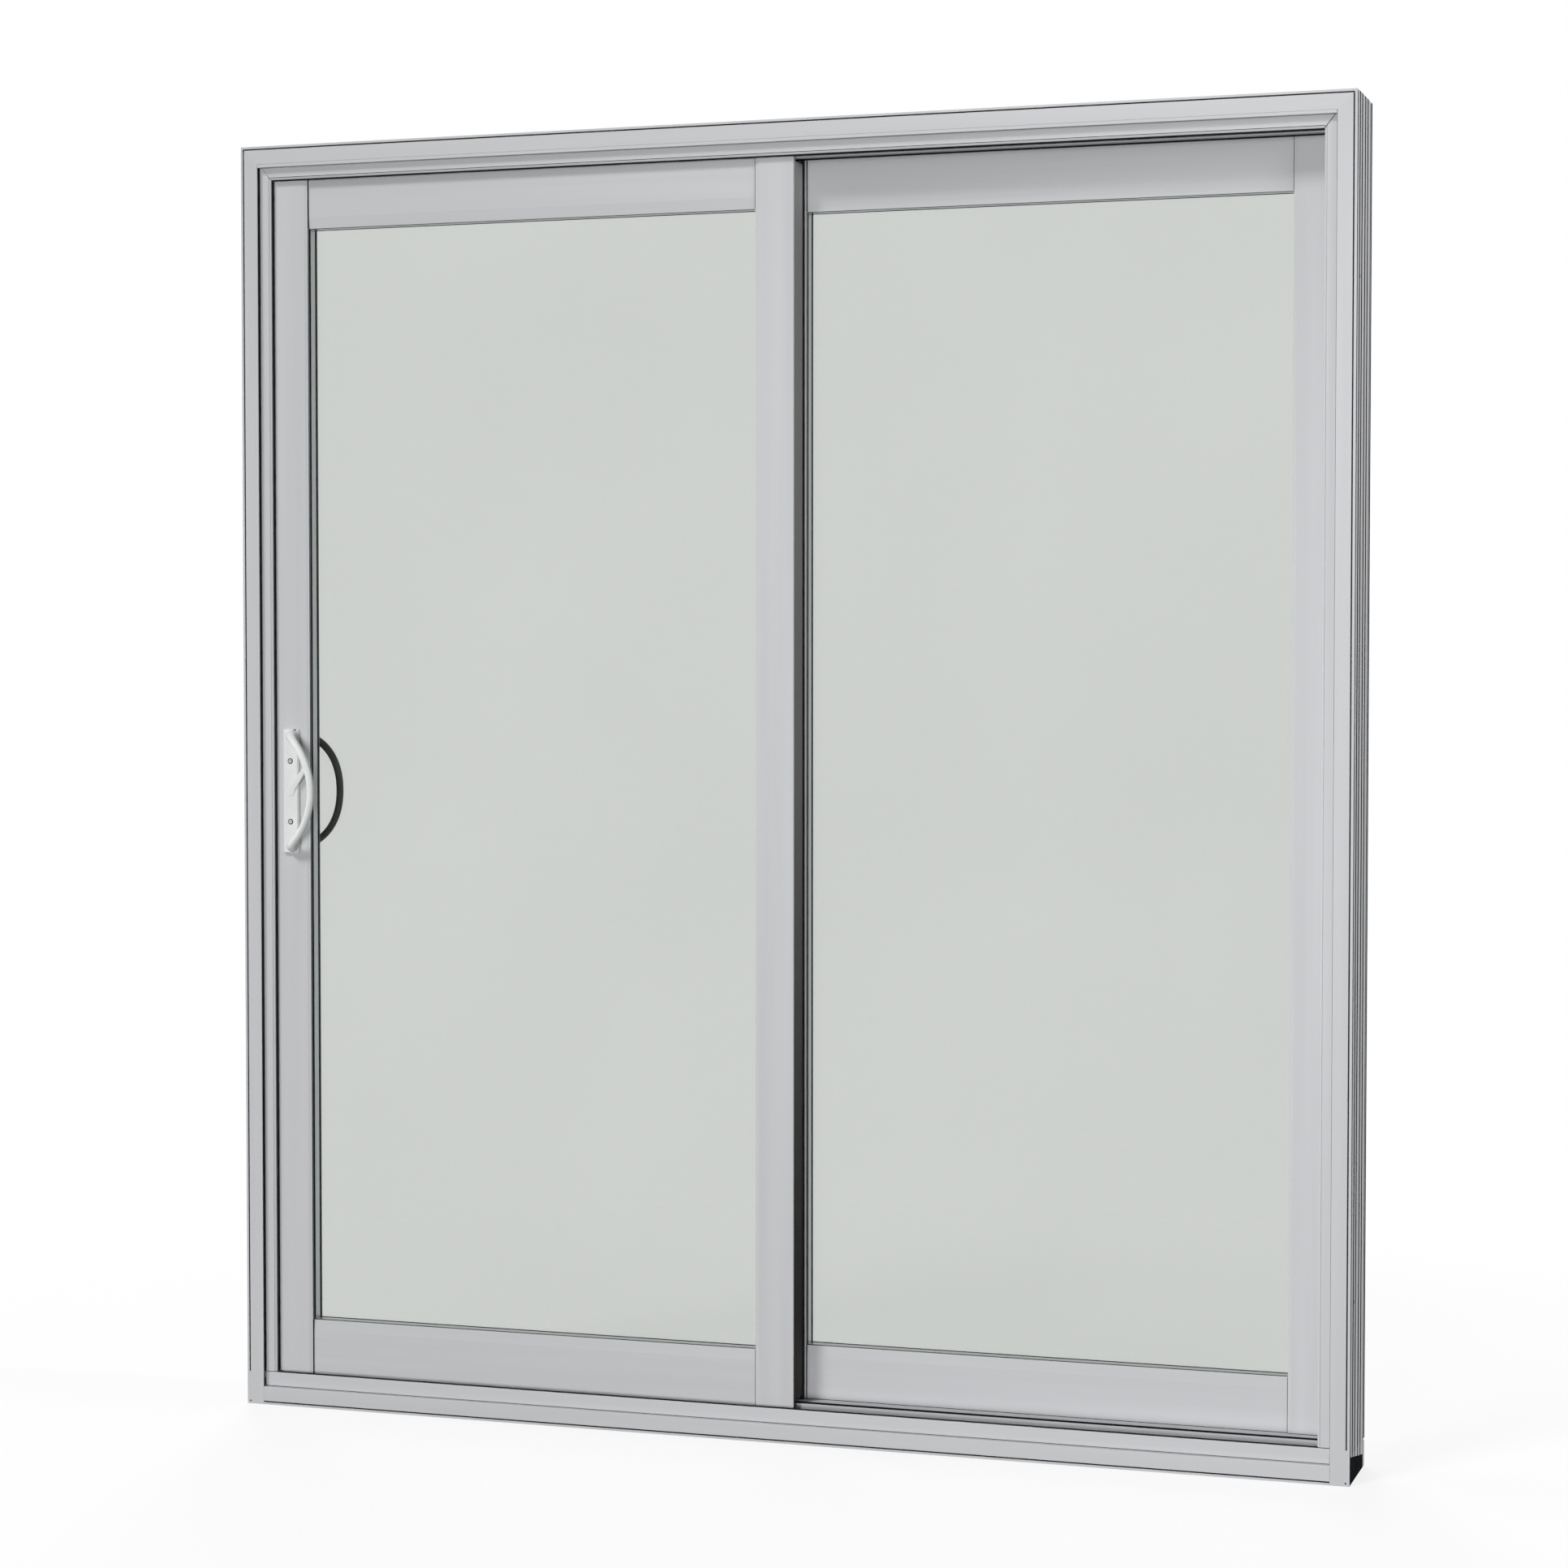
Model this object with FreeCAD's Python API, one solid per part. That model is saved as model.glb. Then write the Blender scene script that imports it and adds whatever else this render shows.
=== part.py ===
"""Two-panel sliding patio door: a vinyl frame, one fixed and one sliding glazed panel.

Millimetres. X runs to the right seen from indoors, Z is up. Depth is counted from the
indoor face of the frame towards outdoors. The origin is the middle of the sill's underside.
"""
import FreeCAD, Part
import math
import os
from dataclasses import dataclass
from FreeCAD import Vector

# Overall size of the frame
WIDTH = 1790.0
HEIGHT = 2032.0
DEPTH = 143.0

# Frame section: indoor flange, recessed strip, web and outdoor stop leg
FLANGE = 29.0
FLANGE_STEP = 9.0
FLANGE_LIP = 4.0
FLANGE_ROUND = 1.2
BEAD_LINE_AT = 4.6
BEAD_LINE_WIDTH = 2.2
BEAD_LINE_DEPTH = 4.0
STRIP_THICK = 4.0
STRIP_REACH_SIDE = 48.3
STRIP_REACH_RAIL = 53.0
STRIP_SLOPE = 3.0
STRIP_SLOPE_DROP = 1.4
EDGE_LINE_WIDTH = 0.9
EDGE_LINE_DEPTH = 0.8
WEB = 24.0
STOP_THICK = 4.0
RIB_GROOVES = (7.5, 27.0, 48.0, 77.0, 101.0, 129.0)
RIB_GROOVE_WIDTH = 6.5
RIB_GROOVE_DEPTH = 2.5

# Glazing build-up through a panel, indoor to outdoor
LEG_FRONT = 7.0
GASKET = 1.5
PANE = 4.0
CAVITY = 15.0
LEG_REAR = 3.0
GLASS_BITE = 13.0
GLASS_EDGE_CLEAR = 2.0
SPACER_RING = 7.0
GASKET_RING = 9.0
STILE_LIP = 1.7
STILE_SLOPE = 3.6
STILE_SLOPE_DROP = 1.2
RAIL_SETBACK = 4.0
RAIL_SLOPE = 18.0
RAIL_SLOPE_DROP = 1.6
PANEL_ROUND = 1.5
PANEL_THICK = LEG_FRONT + GASKET + PANE + CAVITY + PANE + GASKET + LEG_REAR

# Lanes through the depth
SLIDE_CLEAR = 6.0
SKIRT_THICK = 8.0
LANE_GAP = 11.0
SLIDER_FACE = FLANGE_STEP + STRIP_THICK + SLIDE_CLEAR
FIXED_FACE = SLIDER_FACE + PANEL_THICK + LANE_GAP
STOP_FRONT = FIXED_FACE + PANEL_THICK
STOP_BACK = STOP_FRONT + STOP_THICK
PLATFORM_FRONT = SLIDER_FACE + SKIRT_THICK + SLIDE_CLEAR

# Sill
SILL_END_HEIGHT = 42.0
SILL_FLOOR = 31.0
PLATFORM_TOP = 57.0
SILL_STOP_TOP = 70.0
SILL_OUTER_HIGH = 50.0
SILL_OUTER_LOW = 38.0
SILL_ROUND = 2.0
END_CAP_THICK = 3.0
END_CAP_BACK = 129.0

# Roller track in the sill platform
TRACK_SETBACK = 9.0
TRACK_CENTRE = PLATFORM_FRONT + TRACK_SETBACK
TRACK_WIDTH = 9.0
TRACK_FLOOR = 50.0
BEAD_WIDTH = 3.0
BEAD_RISE = 1.2
BEAD_ROUND = 1.1
BEAD_TOP = PLATFORM_TOP + BEAD_RISE

# Head guide
GUIDE_DROP = 54.5
GUIDE_SETBACK = 9.0
GUIDE_ROUND = 1.5

# Panels: clearances, stile widths and rail heights
JAMB_CLEAR = 9.0
RUN_CLEAR = 7.0
HEAD_CLEAR = 6.5
SKIRT_HEAD_CLEAR = 14.0
FIXED_HEAD_CLEAR = 8.0
LOCK_STILE = 74.7
MEETING_STILE = 62.4
FIXED_STILE = 78.5
SLIDER_PAST_CENTRE = 33.8
FIXED_PAST_CENTRE = 38.6
SLIDER_BOTTOM_RAIL = 75.0
SLIDER_TOP_RAIL = 70.6
FIXED_BOTTOM_RAIL = 83.9
FIXED_TOP_RAIL = 101.3

# Interlock fins where the two panels meet
FIN_THICK = 2.5
FIN_REACH = 6.0
FIN_CLEAR = 5.0
FIN_ROUND = 0.8

# Rollers
ROLLER_INSET = 150.0
AXLE_SPACING = 44.0
TREAD_RADIUS = 15.5
ROLLER_FLANGE = 1.2
ROLLER_WIDTH = 8.0
AXLE_RADIUS = 3.0
AXLE_CLEAR = 0.1
TRACK_RUN_CLEAR = 0.3
CARRIAGE_LENGTH = 84.0
CARRIAGE_SHEET = 2.0
CARRIAGE_GAP = 1.0
CARRIAGE_TOP_GAP = 3.0
CARRIAGE_LIFT = 2.0
CARRIAGE_CLEAR = 0.3

# Lock
LOCK_HEIGHT = 997.0
LOCK_PLATE_LONG = 160.0
LOCK_PLATE_WIDE = 20.0
LOCK_PLATE_THICK = 2.5
HOOK_LONG = 46.0
HOOK_WIDE = 8.0
HOOK_POCKET = 16.0
HOOK_SET_IN = 2.0
KEEPER_LONG = 120.0
KEEPER_THICK = 3.0
KEEPER_SLOT_LONG = 64.0
KEEPER_SLOT_WIDE = 11.0
LOCK_ROUND = 3.0

# Handles
HANDLE_FROM_EDGE = 28.9
HANDLE_WIDE = 28.0
HANDLE_TALL = 201.0
HANDLE_THICK = 6.0
HANDLE_ROUND = 3.0
HANDLE_EDGE = 2.4
HANDLE_SCREW_SPACING = 98.0
HANDLE_SCREW_SINK = 1.2
HANDLE_SCREW_RADIUS = 4.6
GRIP_RADIUS = 5.9
GRIP_SPAN = 178.0
GRIP_SIDE = 46.4
GRIP_STAND_OFF = 30.0
GRIP_FOOT_RADIUS = 7.6
GRIP_FOOT_LONG = 3.0
GRIP_FROM_EDGE = 18.1
GRIP_SIDES = 8

# Thumb latch on the indoor handle
LATCH_LONG = 44.0
LATCH_LEAN = 36.6
LATCH_BOSS_RADIUS = 7.5
LATCH_ARM_HALF = 5.2
LATCH_TIP_RADIUS = 4.5
LATCH_THICK = 4.5
LATCH_CLEAR = 0.3
SPINDLE_RADIUS = 3.0
SPINDLE_LONG = 4.5
SPINDLE_CLEAR = 0.1
SPINDLE_END_CLEAR = 0.5

# Installation screw holes through the jambs
FIXING_RADIUS = 3.0
FIXING_SPACING = 1500.0
FIXING_HEIGHT = 1016.0
FIXING_DEPTH_LEFT = 90.0
FIXING_DEPTH_RIGHT = 36.0

HALF = WIDTH / 2
POCKET = GLASS_BITE + GLASS_EDGE_CLEAR
GUIDE_LOW = HEIGHT - GUIDE_DROP
TRACK_LOW = TRACK_CENTRE - TRACK_WIDTH / 2
TRACK_HIGH = TRACK_CENTRE + TRACK_WIDTH / 2
BEAD_LINE_LOW = BEAD_LINE_AT - BEAD_LINE_WIDTH / 2
BEAD_LINE_HIGH = BEAD_LINE_AT + BEAD_LINE_WIDTH / 2


@dataclass(frozen=True)
class Panel:
    """Outer edges of a glazed panel and the widths of its four members."""

    face: float
    left: float
    right: float
    low: float
    high: float
    left_stile: float
    right_stile: float
    bottom_rail: float
    top_rail: float

    @property
    def back(self):
        """Depth of the outdoor face."""
        return self.face + PANEL_THICK

    @property
    def daylight(self):
        """Left, right, low and high edges of the visible glass."""
        return (self.left + self.left_stile, self.right - self.right_stile,
                self.low + self.bottom_rail, self.high - self.top_rail)


SLIDER = Panel(
    face=SLIDER_FACE,
    left=-HALF + WEB + JAMB_CLEAR,
    right=SLIDER_PAST_CENTRE,
    low=PLATFORM_TOP + RUN_CLEAR,
    high=GUIDE_LOW - HEAD_CLEAR,
    left_stile=LOCK_STILE,
    right_stile=MEETING_STILE,
    bottom_rail=SLIDER_BOTTOM_RAIL,
    top_rail=SLIDER_TOP_RAIL,
)
FIXED = Panel(
    face=FIXED_FACE,
    left=FIXED_PAST_CENTRE - MEETING_STILE,
    right=HALF - WEB,
    low=PLATFORM_TOP,
    high=HEIGHT - WEB - FIXED_HEAD_CLEAR,
    left_stile=MEETING_STILE,
    right_stile=FIXED_STILE,
    bottom_rail=FIXED_BOTTOM_RAIL,
    top_rail=FIXED_TOP_RAIL,
)
SKIRT_LOW = SILL_FLOOR + RUN_CLEAR
SKIRT_HIGH = HEIGHT - WEB - SKIRT_HEAD_CLEAR


def block(x_span, depth_span, z_span):
    """Box between two values along each axis."""
    corner = Vector(x_span[0], depth_span[0], z_span[0])
    size = [span[1] - span[0] for span in (x_span, depth_span, z_span)]
    return Part.makeBox(*size, corner)


def rounded_face(corners):
    """Face inside corners (point, radius); a corner with a radius becomes a tangent arc."""
    runs = []
    for index, (point, radius) in enumerate(corners):
        to_last = (corners[index - 1][0] - point).normalize()
        to_next = (corners[(index + 1) % len(corners)][0] - point).normalize()
        if radius == 0:
            runs.append((point, None, point))
            continue
        half_angle = to_last.getAngle(to_next) / 2
        cut_back = radius / math.tan(half_angle)
        inward = (to_last + to_next).normalize()
        crown = point + inward * (radius / math.sin(half_angle) - radius)
        runs.append((point + to_last * cut_back, crown, point + to_next * cut_back))
    edges = []
    for index, (start, crown, end) in enumerate(runs):
        if crown is not None:
            edges.append(Part.Arc(start, crown, end).toShape())
        edges.append(Part.makeLine(end, runs[(index + 1) % len(runs)][0]))
    return Part.Face(Part.Wire(edges))


def upright(outline, low, high):
    """Extrude a plan outline of (x, depth, radius) corners from low to high."""
    corners = [(Vector(x, depth, low), radius) for x, depth, radius in outline]
    return rounded_face(corners).extrude(Vector(0, 0, high - low))


def level(outline, left, right):
    """Extrude a side outline of (depth, z, radius) corners from left to right."""
    corners = [(Vector(left, depth, z), radius) for depth, z, radius in outline]
    return rounded_face(corners).extrude(Vector(right - left, 0, 0))


def across(outline, front, back):
    """Extrude a front outline of (x, z, radius) corners through the depth."""
    corners = [(Vector(x, front, z), radius) for x, z, radius in outline]
    return rounded_face(corners).extrude(Vector(0, back - front, 0))


def rectangle(a_span, b_span, radius):
    """Corners of a rectangle with one corner radius."""
    return [(a_span[0], b_span[0], radius), (a_span[1], b_span[0], radius),
            (a_span[1], b_span[1], radius), (a_span[0], b_span[1], radius)]


def frame_section(strip_reach):
    """Corners (inward, depth, radius) of the jamb and head section from its outer edge."""
    slope_start = strip_reach - STRIP_SLOPE
    strip_back = FLANGE_STEP + STRIP_THICK
    outline = [
        (0, 0, 0),
        (BEAD_LINE_LOW, 0, 0),
        (BEAD_LINE_LOW, BEAD_LINE_DEPTH, 0),
        (BEAD_LINE_HIGH, BEAD_LINE_DEPTH, 0),
        (BEAD_LINE_HIGH, 0, 0),
        (FLANGE, 0, FLANGE_ROUND),
        (FLANGE, FLANGE_STEP, 0),
        (slope_start - EDGE_LINE_WIDTH, FLANGE_STEP, 0),
        (slope_start - EDGE_LINE_WIDTH / 2, FLANGE_STEP + EDGE_LINE_DEPTH, 0),
        (slope_start, FLANGE_STEP, 0),
        (strip_reach, FLANGE_STEP + STRIP_SLOPE_DROP, 0),
        (strip_reach, strip_back, 0),
        (WEB, strip_back, 0),
        (WEB, STOP_FRONT, 0),
        (strip_reach, STOP_FRONT, 0),
        (strip_reach, STOP_BACK, 0),
        (FLANGE, STOP_BACK, 0),
        (FLANGE, DEPTH, FLANGE_ROUND),
        (0, DEPTH, 0),
    ]
    for groove in reversed(RIB_GROOVES):
        near = groove - RIB_GROOVE_WIDTH / 2
        far = groove + RIB_GROOVE_WIDTH / 2
        outline += [(0, far, 0), (RIB_GROOVE_DEPTH, far, 0), (RIB_GROOVE_DEPTH, near, 0), (0, near, 0)]
    return outline


def jamb(side, fixing_depth):
    """Jamb on the left (side -1) or right (side 1), mitred on top, standing on the sill ends."""
    edge = side * HALF
    plan = [(edge - side * inward, depth, radius)
            for inward, depth, radius in frame_section(STRIP_REACH_SIDE)]
    flange_x = edge - side * FLANGE
    strip_x = edge - side * STRIP_REACH_SIDE
    web_x = edge - side * WEB
    mitre = [(edge, 0, 0), (edge, HEIGHT, 0), (flange_x, HEIGHT - FLANGE, 0),
             (strip_x, HEIGHT - STRIP_REACH_RAIL, 0), (strip_x, 0, 0)]
    shape = upright(plan, 0, HEIGHT).common(across(mitre, 0, DEPTH))
    line_span = sorted((edge - side * BEAD_LINE_LOW, edge - side * BEAD_LINE_HIGH))
    shape = shape.fuse(block(line_span, (0, BEAD_LINE_DEPTH), (0, STRIP_REACH_RAIL))).removeSplitter()
    under_x = sorted((edge, strip_x))
    shape = shape.cut(block(under_x, (FLANGE_LIP, DEPTH), (0, SILL_END_HEIGHT)))
    strip_span = sorted((flange_x, strip_x))
    shape = shape.cut(block(strip_span, (FLANGE_STEP, FIXED_FACE), (0, STRIP_REACH_RAIL)))
    stop_span = sorted((web_x, strip_x))
    shape = shape.cut(block(stop_span, (STOP_FRONT, STOP_BACK), (0, SILL_STOP_TOP)))
    for turn in (-1, 1):
        height = FIXING_HEIGHT + turn * FIXING_SPACING / 2
        start = Vector(min(edge, web_x), fixing_depth, height)
        shape = shape.cut(Part.makeCylinder(FIXING_RADIUS, WEB, start, Vector(1, 0, 0)))
    return shape


def head():
    """Head member with both ends mitred onto the jambs."""
    side_view = [(depth, HEIGHT - inward, radius)
                 for inward, depth, radius in frame_section(STRIP_REACH_RAIL)]
    mitre = [(-HALF, HEIGHT, 0), (HALF, HEIGHT, 0), (HALF - FLANGE, HEIGHT - FLANGE, 0),
             (HALF - STRIP_REACH_SIDE, HEIGHT - STRIP_REACH_RAIL, 0),
             (STRIP_REACH_SIDE - HALF, HEIGHT - STRIP_REACH_RAIL, 0),
             (FLANGE - HALF, HEIGHT - FLANGE, 0)]
    return level(side_view, -HALF, HALF).common(across(mitre, 0, DEPTH))


def head_guide():
    """Guide beam under the head that the sliding panel's skirt passes in front of."""
    front = PLATFORM_FRONT + GUIDE_SETBACK
    side_view = [(front, GUIDE_LOW, GUIDE_ROUND), (FIXED_FACE, GUIDE_LOW, GUIDE_ROUND),
                 (FIXED_FACE, HEIGHT - WEB, 0), (front, HEIGHT - WEB, 0)]
    return level(side_view, WEB - HALF, HALF - WEB)


def sill():
    """Sill with indoor flange and strip, slider channel, raised platform and outdoor slope."""
    strip_back = FLANGE_STEP + STRIP_THICK
    side_view = [
        (0, 0, 0),
        (0, BEAD_LINE_LOW, 0),
        (BEAD_LINE_DEPTH, BEAD_LINE_LOW, 0),
        (BEAD_LINE_DEPTH, BEAD_LINE_HIGH, 0),
        (0, BEAD_LINE_HIGH, 0),
        (0, FLANGE, FLANGE_ROUND),
        (FLANGE_STEP, FLANGE, 0),
        (FLANGE_STEP, STRIP_REACH_RAIL - STRIP_SLOPE, 0),
        (FLANGE_STEP + STRIP_SLOPE_DROP, STRIP_REACH_RAIL, 0),
        (strip_back, STRIP_REACH_RAIL, 0),
        (strip_back, SILL_FLOOR, 0),
        (PLATFORM_FRONT, SILL_FLOOR, 0),
        (PLATFORM_FRONT, PLATFORM_TOP, 0),
        (TRACK_LOW, PLATFORM_TOP, 0),
        (TRACK_LOW, TRACK_FLOOR, 0),
        (TRACK_HIGH, TRACK_FLOOR, 0),
        (TRACK_HIGH, PLATFORM_TOP, 0),
        (STOP_FRONT, PLATFORM_TOP, 0),
        (STOP_FRONT, SILL_STOP_TOP, 0),
        (STOP_BACK, SILL_STOP_TOP, 0),
        (STOP_BACK, SILL_OUTER_HIGH, SILL_ROUND),
        (DEPTH, SILL_OUTER_LOW, SILL_ROUND),
        (DEPTH, 0, 0),
    ]
    shape = level(side_view, -HALF, HALF)
    above = (SILL_END_HEIGHT, SILL_STOP_TOP)
    for side in (-1, 1):
        edge = side * HALF
        flange_span = sorted((edge, edge - side * FLANGE))
        web_span = sorted((edge, edge - side * WEB))
        cap_span = sorted((edge, edge - side * END_CAP_THICK))
        shape = shape.cut(block(flange_span, (0, FLANGE_LIP), (0, FLANGE)))
        shape = shape.cut(block(flange_span, (0, strip_back), above))
        shape = shape.cut(block(flange_span, (STOP_BACK, DEPTH), above))
        shape = shape.cut(block(web_span, (0, DEPTH), above))
        shape = shape.cut(block(cap_span, (FLANGE_LIP, END_CAP_BACK), (0, SILL_END_HEIGHT)))
    return shape


def sill_end_cap(side):
    """Dark plate that closes one end of the sill under the jamb."""
    edge = side * HALF
    x_low, x_high = sorted((edge, edge - side * END_CAP_THICK))
    outline = rectangle((FLANGE_LIP, END_CAP_BACK), (0, SILL_END_HEIGHT), 0)
    return level(outline, x_low, x_high)


def roller_track():
    """Track strip that fills the platform groove, with a round bead for the rollers."""
    bead_low = TRACK_CENTRE - BEAD_WIDTH / 2
    bead_high = TRACK_CENTRE + BEAD_WIDTH / 2
    side_view = [
        (TRACK_LOW, TRACK_FLOOR, 0),
        (TRACK_HIGH, TRACK_FLOOR, 0),
        (TRACK_HIGH, PLATFORM_TOP, 0),
        (bead_high, PLATFORM_TOP, 0),
        (bead_high, BEAD_TOP, BEAD_ROUND),
        (bead_low, BEAD_TOP, BEAD_ROUND),
        (bead_low, PLATFORM_TOP, 0),
        (TRACK_LOW, PLATFORM_TOP, 0),
    ]
    return level(side_view, WEB - HALF, HALF - WEB)


def member_section(panel, front):
    """Corners (along, depth, radius) of a panel member, from its front's outer to daylight edge."""
    outer, inner = front[0][0], front[-1][0]
    toward = 1 if inner > outer else -1
    pocket = inner - toward * POCKET
    pocket_front = panel.face + LEG_FRONT
    pocket_back = panel.back - LEG_REAR
    return front + [
        (inner, pocket_front, 0),
        (pocket, pocket_front, 0),
        (pocket, pocket_back, 0),
        (inner, pocket_back, 0),
        (inner, panel.back, 0),
        (outer, panel.back, PANEL_ROUND),
    ]


def skirted(shape, panel, x_span):
    """Cut a tall sliding member so that only its front skirt reaches past the panel's body."""
    behind = (panel.face + SKIRT_THICK, panel.back + FIN_REACH)
    shape = shape.cut(block(x_span, behind, (SKIRT_LOW, panel.low)))
    return shape.cut(block(x_span, behind, (panel.high, SKIRT_HIGH)))


def stile_section(panel, outer, inner):
    """Corners of a stile, whose front lies in the panel's face and falls to a small lip."""
    toward = 1 if inner > outer else -1
    lip = inner - toward * STILE_LIP
    low = panel.face + STILE_SLOPE_DROP
    front = [(outer, panel.face, PANEL_ROUND), (lip - toward * STILE_SLOPE, panel.face, 0),
             (lip, low, 0), (inner, low, 0)]
    return member_section(panel, front)


def slider_stile(outline):
    """Sliding panel stile with skirts at top and bottom, from its section."""
    shape = upright(outline, SKIRT_LOW, SKIRT_HIGH)
    return skirted(shape, SLIDER, (shape.BoundBox.XMin, shape.BoundBox.XMax))


def fixed_stile(outer, inner):
    """Fixed panel stile."""
    return upright(stile_section(FIXED, outer, inner), FIXED.low, FIXED.high)


def rail(panel, outer, inner, skirt_end):
    """Panel rail between the stiles; its front skirt runs on from outer to skirt_end."""
    left, right = panel.daylight[0], panel.daylight[1]
    toward = 1 if inner > outer else -1
    face = panel.face + RAIL_SETBACK
    front = [(outer, face, 0), (inner - toward * RAIL_SLOPE, face, 0), (inner, face + RAIL_SLOPE_DROP, 0)]
    outline = [(depth, along, 0) for along, depth, _ in member_section(panel, front)]
    shape = level(outline, left, right)
    if skirt_end == outer:
        return shape
    skirt_depth = (panel.face + RAIL_SETBACK, panel.face + SKIRT_THICK)
    skirt = block((left, right), skirt_depth, sorted((outer, skirt_end)))
    return shape.fuse(skirt).removeSplitter()


def lock_stile():
    """Stile on the lock side, recessed for the lock plate and hook."""
    outer = SLIDER.left
    shape = slider_stile(stile_section(SLIDER, outer, SLIDER.daylight[0]))
    middle = SLIDER.face + PANEL_THICK / 2
    shape = shape.cut(lock_plate_blank(outer, middle))
    pocket_x = (outer, outer + LOCK_PLATE_THICK + HOOK_POCKET)
    hook_depth = (middle - HOOK_WIDE / 2, middle + HOOK_WIDE / 2)
    hook_z = (LOCK_HEIGHT - HOOK_LONG / 2, LOCK_HEIGHT + HOOK_LONG / 2)
    return shape.cut(block(pocket_x, hook_depth, hook_z))


def lock_plate_blank(outer, middle):
    """Plain lock plate let into the stile's edge."""
    depth_span = (middle - LOCK_PLATE_WIDE / 2, middle + LOCK_PLATE_WIDE / 2)
    z_span = (LOCK_HEIGHT - LOCK_PLATE_LONG / 2, LOCK_HEIGHT + LOCK_PLATE_LONG / 2)
    return level(rectangle(depth_span, z_span, LOCK_ROUND), outer, outer + LOCK_PLATE_THICK)


def mortise_lock():
    """Lock plate with the hook drawn back inside its slot."""
    outer = SLIDER.left
    middle = SLIDER.face + PANEL_THICK / 2
    plate = lock_plate_blank(outer, middle)
    slot_depth = (middle - HOOK_WIDE / 2, middle + HOOK_WIDE / 2)
    slot_z = (LOCK_HEIGHT - HOOK_LONG / 2, LOCK_HEIGHT + HOOK_LONG / 2)
    plate = plate.cut(block((outer, outer + LOCK_PLATE_THICK), slot_depth, slot_z))
    hook_x = (outer + HOOK_SET_IN, outer + LOCK_PLATE_THICK + HOOK_POCKET)
    return plate.fuse(block(hook_x, slot_depth, slot_z)).removeSplitter()


def lock_keeper():
    """Keeper plate on the left jamb that receives the hook."""
    seat = WEB - HALF
    middle = SLIDER.face + PANEL_THICK / 2
    depth_span = (middle - LOCK_PLATE_WIDE / 2, middle + LOCK_PLATE_WIDE / 2)
    z_span = (LOCK_HEIGHT - KEEPER_LONG / 2, LOCK_HEIGHT + KEEPER_LONG / 2)
    plate = level(rectangle(depth_span, z_span, LOCK_ROUND), seat, seat + KEEPER_THICK)
    slot_depth = (middle - KEEPER_SLOT_WIDE / 2, middle + KEEPER_SLOT_WIDE / 2)
    slot_z = (LOCK_HEIGHT - KEEPER_SLOT_LONG / 2, LOCK_HEIGHT + KEEPER_SLOT_LONG / 2)
    return plate.cut(level(rectangle(slot_depth, slot_z, LOCK_ROUND), seat, seat + KEEPER_THICK))


def slider_meeting_stile():
    """Sliding panel's interlock stile with a fin along its outer edge, towards the fixed panel."""
    outer = SLIDER.right
    fin_end = SLIDER.back + FIN_REACH
    outline = stile_section(SLIDER, outer, SLIDER.daylight[1])[:-1]
    outline += [(outer - FIN_THICK, SLIDER.back, 0), (outer - FIN_THICK, fin_end, FIN_ROUND),
                (outer, fin_end, FIN_ROUND)]
    return slider_stile(outline)


def fixed_meeting_stile():
    """Fixed panel's interlock stile with a fin on its indoor face, beside the slider's fin."""
    fin_right = SLIDER.right - FIN_THICK - FIN_CLEAR
    fin_x = (fin_right - FIN_THICK, fin_right)
    fin = block(fin_x, (FIXED.face - FIN_REACH, FIXED.face), (SLIDER.low, SLIDER.high))
    return fixed_stile(FIXED.left, FIXED.daylight[0]).fuse(fin).removeSplitter()


def roller_centres(side):
    """X places of the two wheels of the left (-1) or right (1) roller carriage."""
    middle = SLIDER.left + ROLLER_INSET if side < 0 else SLIDER.right - ROLLER_INSET
    return middle, (middle - AXLE_SPACING / 2, middle + AXLE_SPACING / 2)


AXLE_HEIGHT = BEAD_TOP + TRACK_RUN_CLEAR + TREAD_RADIUS
ROLLER_TOP = AXLE_HEIGHT + TREAD_RADIUS + ROLLER_FLANGE
CARRIAGE_HALF = ROLLER_WIDTH / 2 + CARRIAGE_GAP + CARRIAGE_SHEET
CARRIAGE_TOP = ROLLER_TOP + CARRIAGE_TOP_GAP + CARRIAGE_SHEET


def carriage_slot(side):
    """Slot in the bottom rail that houses one roller carriage."""
    middle, _ = roller_centres(side)
    reach = CARRIAGE_LENGTH / 2 + CARRIAGE_CLEAR
    half = CARRIAGE_HALF + CARRIAGE_CLEAR
    depth_span = (TRACK_CENTRE - half, TRACK_CENTRE + half)
    return block((middle - reach, middle + reach), depth_span, (SLIDER.low, CARRIAGE_TOP))


def slider_bottom_rail():
    """Bottom rail of the sliding panel, slotted for the roller carriages."""
    shape = rail(SLIDER, SLIDER.low, SLIDER.daylight[2], SKIRT_LOW)
    return shape.cut(carriage_slot(-1)).cut(carriage_slot(1))


def roller_carriage(side):
    """Sheet carriage open underneath, with the two axles across it."""
    middle, centres = roller_centres(side)
    x_span = (middle - CARRIAGE_LENGTH / 2, middle + CARRIAGE_LENGTH / 2)
    outer = (TRACK_CENTRE - CARRIAGE_HALF, TRACK_CENTRE + CARRIAGE_HALF)
    inner = (outer[0] + CARRIAGE_SHEET, outer[1] - CARRIAGE_SHEET)
    low = SLIDER.low + CARRIAGE_LIFT
    shape = block(x_span, outer, (low, CARRIAGE_TOP))
    shape = shape.cut(block(x_span, inner, (low, CARRIAGE_TOP - CARRIAGE_SHEET)))
    for centre in centres:
        start = Vector(centre, outer[0], AXLE_HEIGHT)
        axle = Part.makeCylinder(AXLE_RADIUS, 2 * CARRIAGE_HALF, start, Vector(0, 1, 0))
        shape = shape.fuse(axle)
    return shape.removeSplitter()


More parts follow.
